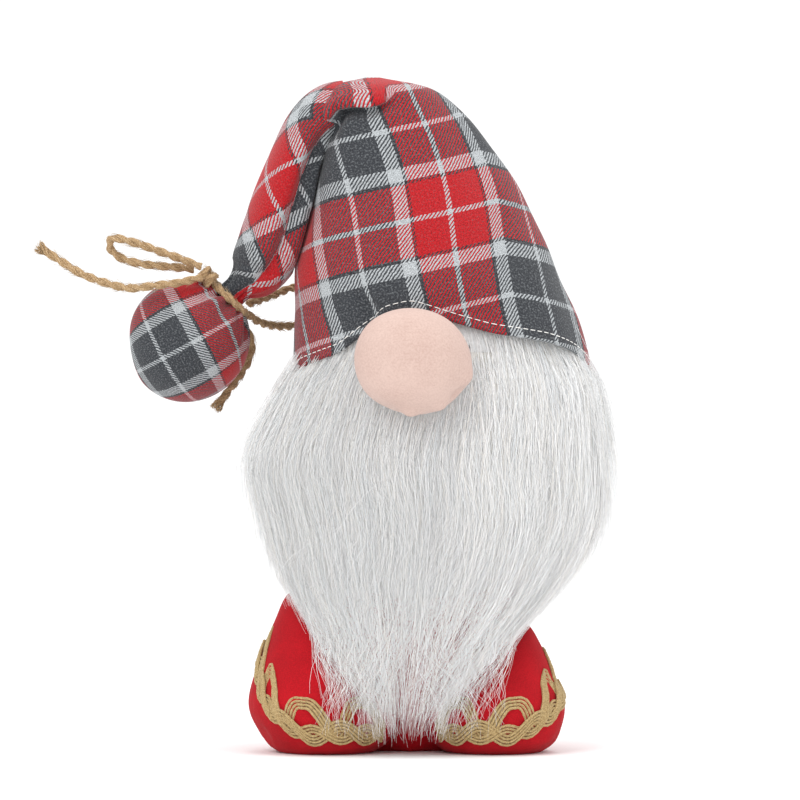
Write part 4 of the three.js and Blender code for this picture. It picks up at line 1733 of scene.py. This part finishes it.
# ---- Studio ------------------------------------------------------------------------------------


@dataclass
class Studio:
    """Camera, lights and a plain pale floor."""

    aim: tuple[float, float, float] = (-3.7, 0.0, 129.8)
    distance: float = 2800.0
    elevation: float = 1.0  # degrees
    width: float = 298.4  # mm across the picture at the aim point

    def build(self) -> None:
        """Place the camera, the lights, the world and the floor."""
        self.set_camera()
        self.set_lights()
        self.lay_floor()

    def set_camera(self) -> None:
        """Look at the front of the gnome from a little above."""
        lens = bpy.data.cameras.new("camera")
        lens.sensor_width = 36.0
        lens.lens = 36.0 * self.distance / self.width
        lens.clip_start, lens.clip_end = 0.01, 20.0
        camera = bpy.data.objects.new("camera", lens)
        e = math.radians(self.elevation)
        back = Vector((0.0, -math.cos(e), math.sin(e)))
        camera.location = (Vector(self.aim) + back * self.distance) * MM
        camera.rotation_euler = back.to_track_quat("Z", "Y").to_euler()
        bpy.context.scene.collection.objects.link(camera)
        bpy.context.scene.camera = camera

    def set_lights(self) -> None:
        """Light it softly from above, left and right, in a white room."""
        for name, place_m, size, power in (
            ("key", (-0.7, -1.3, 1.1), 0.9, 9.0),
            ("fill", (1.2, -1.0, 0.6), 1.2, 3.0),
            ("top", (0.1, 0.1, 1.5), 1.0, 7.0),
        ):
            data = bpy.data.lights.new(name, "AREA")
            data.size, data.energy = size, power
            lamp = bpy.data.objects.new(name, data)
            lamp.location = place_m
            aim = Vector((0.0, 0.0, 0.12)) - Vector(place_m)
            lamp.rotation_euler = aim.to_track_quat("-Z", "Y").to_euler()
            bpy.context.scene.collection.objects.link(lamp)
        world = bpy.data.worlds.new("white room")
        world.use_nodes = True
        glow = world.node_tree.nodes["Background"]
        glow.inputs["Color"].default_value = linear("ffffff")
        glow.inputs["Strength"].default_value = 1.1
        bpy.context.scene.world = world
        bpy.context.scene.view_settings.view_transform = "Standard"

    def lay_floor(self) -> None:
        """Lay a pale matt floor."""
        half = 4.0 / MM
        x, y = np.meshgrid([-half, half], [-half, half])
        floor = sheet_object("floor", np.stack([x, y, 0 * x - 0.02], axis=-1))
        material, _, shader = new_material("pale floor")
        set_inputs(shader, Base_Color=linear("f8f8f8"), Roughness=0.9)
        floor.data.materials.append(material)
        floor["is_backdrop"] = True


# ---- Whole gnome -------------------------------------------------------------------------------

BOOT_LEFT = (
    (0.0, -31.0, -22.0, 18.0, 21.0),
    (2.5, -31.0, -22.5, 21.5, 24.5),
    (7.0, -31.0, -23.0, 24.0, 27.0),
    (18.0, -33.0, -23.0, 26.5, 28.5),
    (36.0, -35.0, -20.0, 20.0, 23.0),
    (50.0, -38.0, -16.0, 11.0, 14.0),
    (57.0, -40.5, -13.5, 5.5, 6.5),
    (59.0, -41.0, -13.0, 1.0, 1.0),
)
BOOT_RIGHT = (
    (0.0, 31.0, -22.0, 18.0, 21.0),
    (2.5, 31.0, -22.5, 21.5, 24.5),
    (7.0, 31.0, -23.0, 24.0, 27.0),
    (18.0, 31.5, -23.0, 25.7, 28.5),
    (30.0, 33.0, -20.0, 19.0, 23.0),
    (41.0, 37.0, -17.0, 10.0, 13.0),
    (46.5, 39.5, -14.5, 4.5, 5.0),
    (48.0, 40.0, -14.0, 1.0, 1.0),
)


def dress_inside(nodes: dict) -> None:
    """Give the pieces inside the gnome their finishes; they keep the frame's own meshes."""
    finishes = {
        "stuffing": SoftCloth("polyester fibre fill", "f2f1ec", "dcdad2", 1.5, 0.6, 0.3).build(),
        "board": SoftCloth("grey board", "b9a992", "a39379", 0.8, 0.05, 0.0).build(),
        "insole": SoftCloth("insole board", "b9a992", "a39379", 0.8, 0.05, 0.0).build(),
        "bag": SoftCloth("calico bag", "e2dac6", "cfc5ae", 0.6, 0.1, 0.1).build(),
    }
    for name, node in nodes.items():
        for ending, material in finishes.items():
            if name.endswith(ending):
                node.data.materials.clear()
                node.data.materials.append(material)


def main() -> list[list[float]]:
    """Build the gnome round the frame.

    Returns:
        The frame's box, as its lowest and highest corner.
    """
    logging.basicConfig(level=logging.INFO, format="%(name)s: %(message)s")
    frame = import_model()
    cad_box = [list(map(float, corner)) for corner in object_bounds()]
    Studio().build()
    dress_inside(frame["nodes"])

    tartan = TartanFlannel().build()
    thread = PlainFibre("white thread", "eceae6", 0.7, 0.3).build()
    cotton = SoftCloth("red cotton", "b30c1a", "900813", 0.45, 0.12, 0.02).build()
    fleece = SoftCloth("peach fleece", "c9b0a6", "bba096", 0.7, 0.12, 0.12).build()
    knit = SoftCloth("knitted backing", "dedcd6", "c4c1b9", 1.0, 0.3, 0.1).build()
    jute = JuteYarn().build()
    trim = JuteYarn("olive jute", "c9b386", "ac9263", "7d6540").build()
    under = SoftCloth("fur undercoat", "e2e2e2", "c8c8c8", 1.2, 0.5, 0.1).build()
    coats = [
        PlainFibre(f"fur, {shade}", colour, roughness, specular, 0.09).build()
        for shade, colour, roughness, specular in (
            ("white", "efefee", 0.5, 0.35),
            ("pale grey", "e6e6e6", 0.5, 0.35),
            ("silver", "d9d9da", 0.5, 0.35),
            ("ivory", "ebe8e3", 0.5, 0.35),
            ("bright", "f6f6f6", 0.45, 0.4),
            ("cool", "e4e8ea", 0.5, 0.35),
            ("soft", "dfdfdf", 0.5, 0.35),
        )
    ]

    sack = BodySack(cotton)
    sack.build()
    left = Boot("boot_left", cotton, BOOT_LEFT, seed=61)
    right = Boot("boot_right", cotton, BOOT_RIGHT, seed=62)
    for boot in (left, right):
        boot.build()
    Gimp(trim, left, inner=0.96, outer=-1.66, climb=28.0).build()
    Gimp(trim, right, inner=-0.96, outer=1.66, climb=17.0).build()
    Beard(sack, knit, under, coats).build()
    Nose(fleece).build()
    hat = Hat(tartan, thread)
    hat.build()
    Tail(tartan, hat.form).build()
    Bobble(tartan).build()
    Bow(Twine(jute)).build()
    return cad_box


if __name__ == "__main__":
    CAD_BOX = main()
